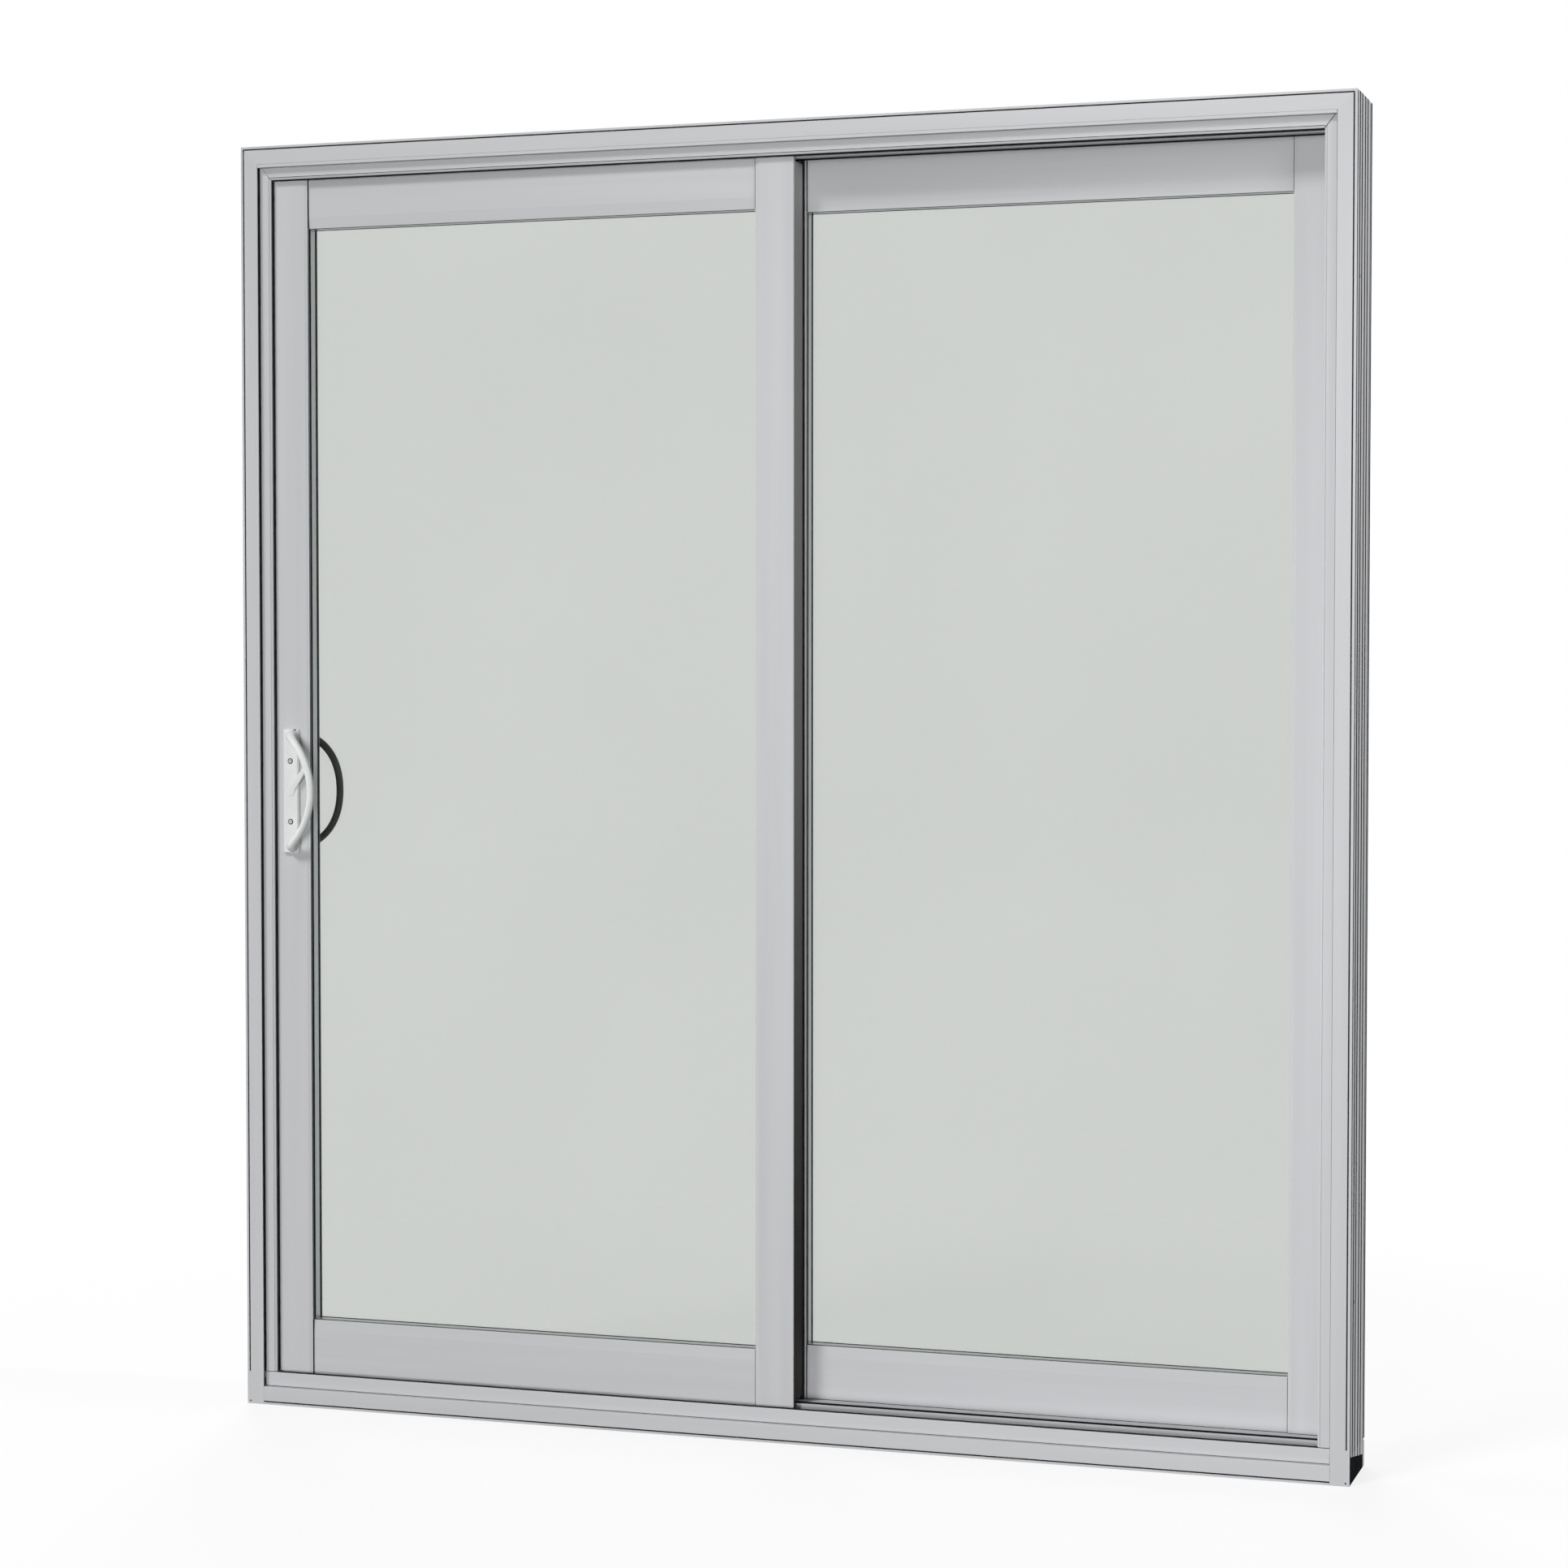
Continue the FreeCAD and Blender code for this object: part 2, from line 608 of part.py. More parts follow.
def roller_wheels(side):
    """Grooved wheels of one carriage, turned about their axles."""
    half = ROLLER_WIDTH / 2
    rim = TREAD_RADIUS + ROLLER_FLANGE
    bore = AXLE_RADIUS + AXLE_CLEAR
    wheels = []
    for centre in roller_centres(side)[1]:
        hub = Vector(centre, TRACK_CENTRE, AXLE_HEIGHT)
        corners = [(-half, bore), (half, bore), (half, rim), (0, TREAD_RADIUS), (-half, rim)]
        profile = rounded_face([(hub + Vector(0, depth, radius), 0) for depth, radius in corners])
        wheels.append(profile.revolve(hub, Vector(0, 1, 0), 360))
    return Part.makeCompound(wheels)


def pane(panel, front):
    """Glass sheet reaching into the members' pockets on all four sides."""
    left, right, low, high = panel.daylight
    return block((left - GLASS_BITE, right + GLASS_BITE), (front, front + PANE),
                 (low - GLASS_BITE, high + GLASS_BITE))


def ring(panel, depth_span, width):
    """Rectangular ring of a width round the daylight opening."""
    left, right, low, high = panel.daylight
    inner = block((left, right), depth_span, (low, high))
    outer = block((left - width, right + width), depth_span, (low - width, high + width))
    return outer.cut(inner)


def glazing(panel):
    """Panes, spacer and gaskets of one panel, by the last words of their names."""
    inner_front = panel.face + LEG_FRONT + GASKET
    cavity_front = inner_front + PANE
    outer_front = cavity_front + CAVITY
    outer_back = outer_front + PANE
    return {
        "inner_pane": pane(panel, inner_front),
        "outer_pane": pane(panel, outer_front),
        "spacer": ring(panel, (cavity_front, outer_front), SPACER_RING),
        "indoor_gasket": ring(panel, (inner_front - GASKET, inner_front), GASKET_RING),
        "outdoor_gasket": ring(panel, (outer_back, outer_back + GASKET), GASKET_RING),
    }


HANDLE_LEFT = SLIDER.left + HANDLE_FROM_EDGE
HANDLE_FRONT = SLIDER.face - HANDLE_THICK
LATCH_X = HANDLE_LEFT + HANDLE_WIDE / 2
GRIP_X = HANDLE_LEFT + GRIP_FROM_EDGE


def outdoors(shape):
    """Mirror an indoor handle piece to the outdoor side of the sliding panel."""
    return shape.mirror(Vector(0, SLIDER.face + PANEL_THICK / 2, 0), Vector(0, 1, 0))


def handle_plate():
    """Handle backplate with bevelled front edges and shallow screw seats."""
    low = LOCK_HEIGHT - HANDLE_TALL / 2
    outline = rectangle((HANDLE_LEFT, HANDLE_LEFT + HANDLE_WIDE), (low, low + HANDLE_TALL), HANDLE_ROUND)
    shape = across(outline, HANDLE_FRONT, SLIDER.face)
    front_edges = [edge for edge in shape.Edges if edge.BoundBox.YMax < HANDLE_FRONT + HANDLE_EDGE]
    shape = shape.makeChamfer(HANDLE_EDGE, front_edges)
    for turn in (-1, 1):
        seat = Vector(LATCH_X, HANDLE_FRONT, LOCK_HEIGHT + turn * HANDLE_SCREW_SPACING / 2)
        shape = shape.cut(Part.makeCylinder(HANDLE_SCREW_RADIUS, HANDLE_SCREW_SINK, seat, Vector(0, 1, 0)))
    return shape


def indoor_handle_plate():
    """Indoor backplate with the bore for the thumb latch's spindle."""
    start = Vector(LATCH_X, HANDLE_FRONT, LOCK_HEIGHT)
    long = SPINDLE_LONG + SPINDLE_END_CLEAR
    bore = Part.makeCylinder(SPINDLE_RADIUS + SPINDLE_CLEAR, long, start, Vector(0, 1, 0))
    return handle_plate().cut(bore)


def grip_face(middle, first, second, radius):
    """Regular many-sided face round a middle point, in the plane of two unit directions."""
    corners = []
    for side in range(GRIP_SIDES):
        turn = 2 * math.pi * side / GRIP_SIDES
        outward = first * math.cos(turn) + second * math.sin(turn)
        corners.append((middle + outward * radius, 0))
    return rounded_face(corners)


def handle_grip():
    """Many-sided bow in a plane that leans away from the stile, with a wider foot at each end."""
    lean = Vector(GRIP_SIDE, -GRIP_STAND_OFF, 0)
    sagitta = lean.Length
    lean.normalize()
    half_span = GRIP_SPAN / 2
    radius = (half_span ** 2 + sagitta ** 2) / (2 * sagitta)
    root = Vector(GRIP_X, HANDLE_FRONT, LOCK_HEIGHT)
    centre = root + lean * (sagitta - radius)
    axis = lean.cross(Vector(0, 0, 1))
    sweep = math.degrees(math.atan2(half_span, radius - sagitta))
    past_root = math.degrees(2 * GRIP_RADIUS / radius)
    tip = centre + lean * radius
    section = grip_face(tip, lean, axis, GRIP_RADIUS)
    section.rotate(centre, axis, -(sweep + past_root))
    shape = section.revolve(centre, axis, 2 * (sweep + past_root))
    for turn in (-1, 1):
        foot = root + Vector(0, 0, turn * half_span)
        pad = grip_face(foot, Vector(1, 0, 0), Vector(0, 0, 1), GRIP_FOOT_RADIUS)
        shape = shape.fuse(pad.extrude(Vector(0, -GRIP_FOOT_LONG, 0)))
    reach = GRIP_SPAN
    room = block((GRIP_X - reach, GRIP_X + reach), (HANDLE_FRONT - reach, HANDLE_FRONT),
                 (LOCK_HEIGHT - reach, LOCK_HEIGHT + reach))
    return shape.common(room).removeSplitter()


def thumb_latch():
    """Thumb lever on a spindle in the indoor handle plate, leaning up towards the glass."""
    back = HANDLE_FRONT - LATCH_CLEAR
    front = back - LATCH_THICK
    outward = Vector(0, 1, 0)
    pivot = Vector(LATCH_X, front, LOCK_HEIGHT)
    lean = math.radians(LATCH_LEAN)
    along = Vector(math.sin(lean), 0, math.cos(lean))
    beside = Vector(math.cos(lean), 0, -math.sin(lean))
    tip = pivot + along * LATCH_LONG
    arm_points = [pivot + beside * LATCH_ARM_HALF, tip + beside * LATCH_TIP_RADIUS,
                  tip - beside * LATCH_TIP_RADIUS, pivot - beside * LATCH_ARM_HALF]
    arm = rounded_face([(point, 0) for point in arm_points]).extrude(outward * LATCH_THICK)
    boss = Part.makeCylinder(LATCH_BOSS_RADIUS, LATCH_THICK, pivot, outward)
    nose = Part.makeCylinder(LATCH_TIP_RADIUS, LATCH_THICK, tip, outward)
    spindle_start = Vector(LATCH_X, back, LOCK_HEIGHT)
    spindle = Part.makeCylinder(SPINDLE_RADIUS, SPINDLE_LONG, spindle_start, outward)
    return arm.fuse(boss).fuse(nose).fuse(spindle).removeSplitter()


def save(name, shape):
    """Write one piece with the frame's mid-depth on the origin."""
    placed = shape.copy()
    placed.translate(Vector(0, -DEPTH / 2, 0))
    placed.exportStep("parts/" + name + ".step")
    print(name, "solids", len(placed.Solids), "valid", placed.isValid())


def main():
    """Build and write every piece of the door."""
    os.makedirs("parts", exist_ok=True)
    pieces = {
        "left_jamb": jamb(-1, FIXING_DEPTH_LEFT),
        "right_jamb": jamb(1, FIXING_DEPTH_RIGHT),
        "head": head(),
        "head_guide": head_guide(),
        "sill": sill(),
        "sill_end_cap_left": sill_end_cap(-1),
        "sill_end_cap_right": sill_end_cap(1),
        "roller_track": roller_track(),
        "lock_keeper": lock_keeper(),
        "fixed_meeting_stile": fixed_meeting_stile(),
        "fixed_jamb_stile": fixed_stile(FIXED.right, FIXED.daylight[1]),
        "fixed_top_rail": rail(FIXED, FIXED.high, FIXED.daylight[3], FIXED.high),
        "fixed_bottom_rail": rail(FIXED, FIXED.low, FIXED.daylight[2], FIXED.low),
        "slider_lock_stile": lock_stile(),
        "slider_meeting_stile": slider_meeting_stile(),
        "slider_top_rail": rail(SLIDER, SLIDER.high, SLIDER.daylight[3], SKIRT_HIGH),
        "slider_bottom_rail": slider_bottom_rail(),
        "mortise_lock": mortise_lock(),
        "left_roller_carriage": roller_carriage(-1),
        "right_roller_carriage": roller_carriage(1),
        "left_roller_wheels": roller_wheels(-1),
        "right_roller_wheels": roller_wheels(1),
        "indoor_handle_plate": indoor_handle_plate(),
        "indoor_handle_grip": handle_grip(),
        "outdoor_handle_plate": outdoors(handle_plate()),
        "outdoor_handle_grip": outdoors(handle_grip()),
        "thumb_latch": thumb_latch(),
    }
    for prefix, panel in (("fixed_", FIXED), ("slider_", SLIDER)):
        for name, shape in glazing(panel).items():
            pieces[prefix + name] = shape
    for name, shape in pieces.items():
        save(name, shape)


if __name__ == "__main__":
    main()
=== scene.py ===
"""Dresses the sliding patio door: finishes on every piece, seals, screws, joint lines, painted shade lines
and studio.
"""
import logging
import math
import random
from dataclasses import dataclass
from enum import Enum
from typing import Iterable, Sequence

import bmesh
import bpy
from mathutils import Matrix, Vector


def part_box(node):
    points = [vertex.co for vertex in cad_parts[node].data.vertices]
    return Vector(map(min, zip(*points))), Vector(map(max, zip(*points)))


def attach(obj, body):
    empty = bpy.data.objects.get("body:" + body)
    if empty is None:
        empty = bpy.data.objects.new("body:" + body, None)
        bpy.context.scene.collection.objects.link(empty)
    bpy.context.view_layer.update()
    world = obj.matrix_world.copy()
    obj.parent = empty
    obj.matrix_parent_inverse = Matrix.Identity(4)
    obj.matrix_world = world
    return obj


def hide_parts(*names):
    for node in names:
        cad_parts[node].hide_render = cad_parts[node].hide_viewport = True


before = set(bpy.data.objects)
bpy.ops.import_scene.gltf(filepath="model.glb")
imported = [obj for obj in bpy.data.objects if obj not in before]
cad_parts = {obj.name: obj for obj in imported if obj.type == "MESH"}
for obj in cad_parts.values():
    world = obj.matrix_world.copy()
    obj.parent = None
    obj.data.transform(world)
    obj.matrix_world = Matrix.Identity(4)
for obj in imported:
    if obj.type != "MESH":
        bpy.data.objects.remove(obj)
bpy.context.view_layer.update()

LOG = logging.getLogger("patio_door")
MM = 0.001
LEFT, RIGHT = -1, 1
INDOORS = Vector((0, -1, 0))
OUTDOORS = Vector((0, 1, 0))
Point = tuple[float, float, float]
Colour = tuple[float, float, float]
Span = tuple[float, float]
Section = tuple[Span, Span]
Socket = bpy.types.NodeSocket


class Axis(Enum):
    """Axes of the door: across it, through it and up."""

    X = 0
    DEPTH = 1
    Z = 2


def node_span(node: str, axis: Axis) -> Span:
    """Lowest and highest place of a CAD node along an axis.

    Args:
        node: Name of the node.
        axis: The axis to measure along.

    Returns:
        Both places in millimetres.
    """
    low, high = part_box(node)
    return (round(low[axis.value] / MM, 2), round(high[axis.value] / MM, 2))


HALF_WIDE = node_span("right_jamb", Axis.X)[1]
HALF_DEEP = node_span("head", Axis.DEPTH)[1]
HEIGHT = node_span("head", Axis.Z)[1]
FLANGE_WIDE = 29.0
FLANGE = HALF_WIDE - FLANGE_WIDE
FLANGE_HIGH = HEIGHT - FLANGE_WIDE
STRIP = node_span("right_jamb", Axis.X)[0]
STRIP_HIGH = node_span("head", Axis.Z)[0]
STRIP_DEPTH = 9.0
PLATFORM = node_span("fixed_bottom_rail", Axis.Z)[0]
GUIDE_LOW = node_span("head_guide", Axis.Z)[0]
LOCK_HEIGHT = sum(node_span("mortise_lock", Axis.Z)) / 2
LOCK_DEPTH = sum(node_span("mortise_lock", Axis.DEPTH)) / 2 + HALF_DEEP
PLATE_MIDDLE = sum(node_span("indoor_handle_plate", Axis.X)) / 2


class Run(Enum):
    """Direction in which a profile was drawn, along which its faint streaks lie."""

    UPRIGHT = (34.0, 34.0, 0.9)
    LEVEL = (0.9, 34.0, 34.0)


class Body(Enum):
    """Moving bodies of the door."""

    FRAME = "frame"
    SLIDER = "sliding_panel"
    LATCH = "latch"


class Side(Enum):
    """Sides of the door that a handle is on."""

    INDOOR = "indoor"
    OUTDOOR = "outdoor"


class Panel(Enum):
    """Glazed panels of the door."""

    FIXED = "fixed"
    SLIDER = "slider"


def scaled(colour: Colour, by: float) -> Colour:
    """Colour with every channel multiplied by a factor."""
    return (colour[0] * by, colour[1] * by, colour[2] * by)


def even(scale: float) -> Point:
    """The same scale along all three axes."""
    return (scale, scale, scale)


class Graph:
    """Node tree of one material, with short calls to add and join nodes."""

    def __init__(self, name: str) -> None:
        """Start an empty tree.

        Args:
            name: Name of the new material.
        """
        self.material = bpy.data.materials.new(name)
        self.material.use_nodes = True
        self.nodes = self.material.node_tree.nodes
        self.nodes.clear()
        self.output = self.nodes.new("ShaderNodeOutputMaterial")

    def add(self, kind: str, **values: object) -> bpy.types.Node:
        """Add a node.

        Args:
            kind: Blender's type name of the node.
            **values: Input values by socket name, with underscores for spaces.

        Returns:
            The new node.
        """
        node = self.nodes.new(kind)
        for key, value in values.items():
            node.inputs[key.replace("_", " ")].default_value = value
        return node

    def join(self, source: Socket, target: Socket) -> None:
        """Link an output socket to an input socket."""
        self.material.node_tree.links.new(source, target)

    def coordinates(self, scale: Sequence[float]) -> Socket:
        """Object coordinates in metres, stretched by scale.

        Args:
            scale: Repeats per metre along X, Y and Z.

        Returns:
            The socket that carries the stretched coordinates.
        """
        source = self.add("ShaderNodeTexCoord")
        mapping = self.add("ShaderNodeMapping", Scale=tuple(scale))
        self.join(source.outputs["Object"], mapping.inputs["Vector"])
        return mapping.outputs["Vector"]

    def noise(self, scale: Sequence[float], detail: float = 3.0) -> Socket:
        """Noise value from 0 to 1 in object space.

        Args:
            scale: Repeats per metre along X, Y and Z.
            detail: Number of finer layers.

        Returns:
            The socket that carries the value.
        """
        noise = self.add("ShaderNodeTexNoise", Scale=1.0, Detail=detail, Roughness=0.55)
        self.join(self.coordinates(scale), noise.inputs["Vector"])
        return noise.outputs["Fac"]

    def spread(self, value: Socket, low: float, high: float) -> Socket:
        """Map a noise value onto a range.

        Args:
            value: Socket with the noise value.
            low: Result at the noise's usual low.
            high: Result at the noise's usual high.

        Returns:
            The socket that carries the result.
        """
        ranged = self.add("ShaderNodeMapRange", From_Min=0.3, From_Max=0.7, To_Min=low, To_Max=high)
        self.join(value, ranged.inputs["Value"])
        return ranged.outputs["Result"]

    def tint(self, value: Socket, low: Colour, high: Colour) -> Socket:
        """Colour between two colours, led by a value.

        Args:
            value: Socket with a value from 0 to 1.
            low: Colour at 0.
            high: Colour at 1.

        Returns:
            The socket that carries the colour.
        """
        mix = self.nodes.new("ShaderNodeMix")
        mix.data_type = "RGBA"
        mix.inputs["A"].default_value = (*low, 1.0)
        mix.inputs["B"].default_value = (*high, 1.0)
        self.join(value, mix.inputs["Factor"])
        return mix.outputs["Result"]

    def drift(self, value: Socket, colour: Colour, share: float) -> Socket:
        """Colour that a noise value makes a little darker and lighter.

        Args:
            value: Socket with the noise value.
            colour: The colour in the middle.
            share: Share of the colour lost at the low and gained at the high.

        Returns:
            The socket that carries the colour.
        """
        return self.tint(self.spread(value, 0.0, 1.0), scaled(colour, 1 - share), scaled(colour, 1 + share))

    def bump(self, height: Socket, strength: float, distance: float) -> Socket:
        """Normal from a height value.

        Args:
            height: Socket with the height.
            strength: Share of the bump that shows.
            distance: Height in metres of a value of 1.

        Returns:
            The socket that carries the normal.
        """
        bump = self.add("ShaderNodeBump", Strength=strength, Distance=distance)
        self.join(height, bump.inputs["Height"])
        return bump.outputs["Normal"]

    def surface(self, colour: Socket, roughness: Socket, normal: Socket,
                **values: object) -> bpy.types.Material:
        """End the tree in an opaque surface.

        Args:
            colour: Socket with the base colour.
            roughness: Socket with the roughness.
            normal: Socket with the bumped normal.
            **values: Other inputs of the surface by socket name, with underscores for spaces.

        Returns:
            The finished material.
        """
        shader = self.add("ShaderNodeBsdfPrincipled", **values)
        self.join(colour, shader.inputs["Base Color"])
        self.join(roughness, shader.inputs["Roughness"])
        self.join(normal, shader.inputs["Normal"])
        return self.finish(shader)

    def finish(self, shader: bpy.types.Node) -> bpy.types.Material:
        """Send a shader to the output and hand back the material."""
        self.join(shader.outputs[0], self.output.inputs["Surface"])
        return self.material


@dataclass(frozen=True)
class VinylFinish:
    """Satin extruded vinyl with faint streaks along its length."""

    name: str
    colour: Colour
    run: Run
    roughness: float = 0.46
    rough_drift: float = 0.05
    shade_drift: float = 0.035
    cloud: float = 9.0
    grain: float = 1500.0
    grain_share: float = 0.12
    grain_height: float = 0.00012

    def material(self) -> bpy.types.Material:
        """Build the vinyl's node material.

        Returns:
            The finished material.
        """
        graph = Graph(self.name)
        cloud = graph.noise(even(self.cloud))
        grain = graph.noise(even(self.grain), detail=1.0)
        return graph.surface(
            graph.drift(graph.noise(self.run.value), self.colour, self.shade_drift),
            graph.spread(cloud, self.roughness - self.rough_drift, self.roughness + self.rough_drift),
            graph.bump(grain, self.grain_share, self.grain_height), Specular_IOR_Level=0.0)


@dataclass(frozen=True)
class CoatFinish:
    """Powder coat with fine orange peel."""

    name: str
    colour: Colour
    roughness: float
    smoother: float = 0.04
    rougher: float = 0.06
    shade_drift: float = 0.03
    cloud: float = 60.0
    peel: float = 620.0
    peel_share: float = 0.15
    peel_height: float = 0.0002

    def material(self) -> bpy.types.Material:
        """Build the coat's node material.

        Returns:
            The finished material.
        """
        graph = Graph(self.name)
        cloud = graph.noise(even(self.cloud))
        peel = graph.noise(even(self.peel), detail=2.0)
        return graph.surface(
            graph.drift(cloud, self.colour, self.shade_drift),
            graph.spread(cloud, self.roughness - self.smoother, self.roughness + self.rougher),
            graph.bump(peel, self.peel_share, self.peel_height), Specular_IOR_Level=0.2)


@dataclass(frozen=True)
class RubberFinish:
    """Matt rubber or moulded plastic with a dusty bloom."""

    name: str
    colour: Colour
    roughness: float = 0.75
    bloom: float = 0.02
    rough_drift: float = 0.08
    cloud: float = 45.0
    pores: float = 2200.0
    pore_share: float = 0.2
    pore_depth: float = 0.0001

    def tone(self, graph: Graph, cloud: Socket) -> Socket:
        """Colour of the rubber, paler where the bloom lies.

        Args:
            graph: Node tree of the material.
            cloud: Socket with the noise value that spreads the bloom.

        Returns:
            The socket that carries the colour.
        """
        dusty = tuple(channel + self.bloom for channel in self.colour)
        return graph.tint(graph.spread(cloud, 0.0, 1.0), self.colour, dusty)

    def material(self) -> bpy.types.Material:
        """Build the rubber's node material.

        Returns:
            The finished material.
        """
        graph = Graph(self.name)
        cloud = graph.noise(even(self.cloud), detail=5.0)
        pores = graph.noise(even(self.pores), detail=1.0)
        return graph.surface(
            self.tone(graph, cloud),
            graph.spread(cloud, self.roughness - self.rough_drift, self.roughness + self.rough_drift),
            graph.bump(pores, self.pore_share, self.pore_depth), Specular_IOR_Level=0.0)


@dataclass(frozen=True)
class ShadeGradientFinish(RubberFinish):
    """Rubber-like strip coloured dark at its foot and paler up to a height in metres: painted shade, darker
    towards the bottom.
    """

    top: Colour = (0.52, 0.52, 0.51)
    heights: Span = (0.06, 1.0)

    def tone(self, graph: Graph, cloud: Socket) -> Socket:
        """Colour of the strip, graded from its foot up as painted shade, darker towards the bottom.

        Args:
            graph: Node tree of the material.
            cloud: Socket with the noise value, which the strip's colour doesn't need.

        Returns:
            The socket that carries the colour.
        """
        split = graph.nodes.new("ShaderNodeSeparateXYZ")
        graph.join(graph.coordinates(even(1.0)), split.inputs["Vector"])
        height = graph.add("ShaderNodeMapRange", From_Min=self.heights[0], From_Max=self.heights[1])
        graph.join(split.outputs["Z"], height.inputs["Value"])
        return graph.tint(height.outputs["Result"], self.colour, self.top)


@dataclass(frozen=True)
class MetalFinish:
    """Drawn or brushed metal with lines along one direction."""

    name: str
    colour: Colour
    run: Run
    roughness: float = 0.36
    smoother: float = 0.08
    rougher: float = 0.1
    shade_drift: float = 0.12
    line_scale: float = 12.0
    line_share: float = 0.1
    line_height: float = 0.0001

    def material(self) -> bpy.types.Material:
        """Build the metal's node material.

        Returns:
            The finished material.
        """
        graph = Graph(self.name)
        lines = graph.noise([self.line_scale * part for part in self.run.value], detail=4.0)
        return graph.surface(
            graph.drift(lines, self.colour, self.shade_drift),
            graph.spread(lines, self.roughness - self.smoother, self.roughness + self.rougher),
            graph.bump(lines, self.line_share, self.line_height), Metallic=1.0)


@dataclass(frozen=True)
class GlassFinish:
    """Flat tinted glass: light passes straight through each face, with a faint mirror on top."""

    name: str
    passes: Colour
    mirror: float = 0.01
    mirror_tint: Colour = (0.9, 0.95, 0.92)
    mirror_blur: Span = (0.01, 0.04)
    haze: float = 0.004
    cloud: float = 1.6

    def material(self) -> bpy.types.Material:
        """Build the glass's node material.

        Returns:
            The finished material.
        """
        graph = Graph(self.name)
        cloud = graph.noise(even(self.cloud), detail=2.0)
        clear = graph.add("ShaderNodeBsdfTransparent")
        graph.join(graph.drift(cloud, self.passes, self.haze), clear.inputs["Color"])
        gloss = graph.add("ShaderNodeBsdfGlossy", Color=(*self.mirror_tint, 1.0))
        graph.join(graph.spread(cloud, *self.mirror_blur), gloss.inputs["Roughness"])
        mix = graph.add("ShaderNodeMixShader", Fac=self.mirror)
        graph.join(clear.outputs[0], mix.inputs[1])
        graph.join(gloss.outputs[0], mix.inputs[2])
        return graph.finish(mix)


class Finishes:
    """Every finish of the door, built once and shared by its pieces."""

    WHITE: Colour = (0.565, 0.57, 0.585)

    def __init__(self) -> None:
        """Build the materials."""
        self.frame_upright = VinylFinish("vinyl_upright", self.WHITE, Run.UPRIGHT).material()
        self.frame_level = VinylFinish("vinyl_level", self.WHITE, Run.LEVEL).material()
        self.handle_white = CoatFinish("handle_white", (0.74, 0.755, 0.75), roughness=0.4).material()
        self.handle_dark = CoatFinish("handle_dark", (0.02, 0.021, 0.022), roughness=0.42).material()
        self.black_plastic = RubberFinish("black_plastic", (0.012, 0.012, 0.013), 0.6, bloom=0.008).material()
        # black rubber of the real gaskets and piles, also the colour of the dark bars, lines, rings and dots
        # that paint shade
        self.gasket = RubberFinish("gasket", (0.016, 0.017, 0.018)).material()
        # painted shade: dark strip for the shaded interlock side, graded darker towards its foot
        self.interlock = ShadeGradientFinish("interlock_painted_shade", (0.1, 0.093, 0.086), roughness=0.7).material()
        self.spacer = MetalFinish("spacer", (0.51, 0.535, 0.55), Run.UPRIGHT, roughness=0.35).material()
        self.nylon = RubberFinish("nylon", (0.6, 0.59, 0.55), roughness=0.45, bloom=0.04).material()
        self.track = RubberFinish("track", (0.01, 0.01, 0.011), roughness=0.6, bloom=0.006).material()
        self.steel = MetalFinish("steel", (0.55, 0.55, 0.56), Run.UPRIGHT).material()
        self.glass = GlassFinish("glass", (0.884, 0.891, 0.882)).material()


def dress(nodes: Iterable[str], material: bpy.types.Material) -> None:
    """Give CAD nodes a material.

    Args:
        nodes: Names of the nodes.
        material: The finish for every slot of each node.
    """
    for name in nodes:
        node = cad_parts[name]
        if not node.material_slots:
            node.data.materials.append(material)
        for slot in node.material_slots:
            slot.material = material
        LOG.info("dressed %s with %s", name, material.name)


def seen_by_eye(tree: bpy.types.NodeTree) -> Socket:
    """Value of 1 for rays that the eye, a gloss or a glass sends, and 0 for other light.

    Args:
        tree: Node tree to add the nodes to.

    Returns:
        The socket that carries the value.
    """
    path = tree.nodes.new("ShaderNodeLightPath")
    total = path.outputs["Is Camera Ray"]
    for kind in ("Is Glossy Ray", "Is Transmission Ray"):
        add = tree.nodes.new("ShaderNodeMath")
        add.operation = "ADD"
        add.use_clamp = True
        tree.links.new(total, add.inputs[0])
        tree.links.new(path.outputs[kind], add.inputs[1])
        total = add.outputs[0]
    return total


def hang_lamp(data: bpy.types.Light, at: Vector, toward: Vector, gloss: bool) -> None:
    """Put a lamp at a place, shining away from a direction.

    Args:
        data: The lamp's settings.
        at: Place of the lamp in metres.
        toward: Direction from what it lights to the lamp.
        gloss: False for a lamp that leaves no highlight.
    """
    lamp = bpy.data.objects.new(data.name, data)
    bpy.context.scene.collection.objects.link(lamp)
    lamp.location = at
    lamp.rotation_euler = toward.to_track_quat("Z", "Y").to_euler()
    lamp.visible_glossy = gloss


@dataclass(frozen=True)
class Sun:
    """Far lamp, its spread in degrees, with a strength of pi showing a colour as it is written."""

    name: str
    toward: Point
    strength: float
    spread: float
    gloss: bool = False
    mark: Point = (0.0, 0.0, 3.0)

    def build(self) -> None:
        """Make the lamp."""
        data = bpy.data.lights.new(self.name, "SUN")
        data.energy = self.strength
        data.angle = math.radians(self.spread)
        hang_lamp(data, Vector(self.mark), Vector(self.toward), self.gloss)


@dataclass(frozen=True)
class Spot:
    """Near lamp with a soft edge, its power in watts, its cone in degrees and its places in metres."""

    name: str
    at: Point
    aim: Point
    power: float
    cone: float
    size: float = 0.6

    def build(self) -> None:
        """Make the lamp."""
        data = bpy.data.lights.new(self.name, "SPOT")
        data.energy = self.power
        data.shadow_soft_size = self.size
        data.spot_size = math.radians(self.cone)
        data.spot_blend = 1.0
        hang_lamp(data, Vector(self.at), Vector(self.at) - Vector(self.aim), gloss=False)


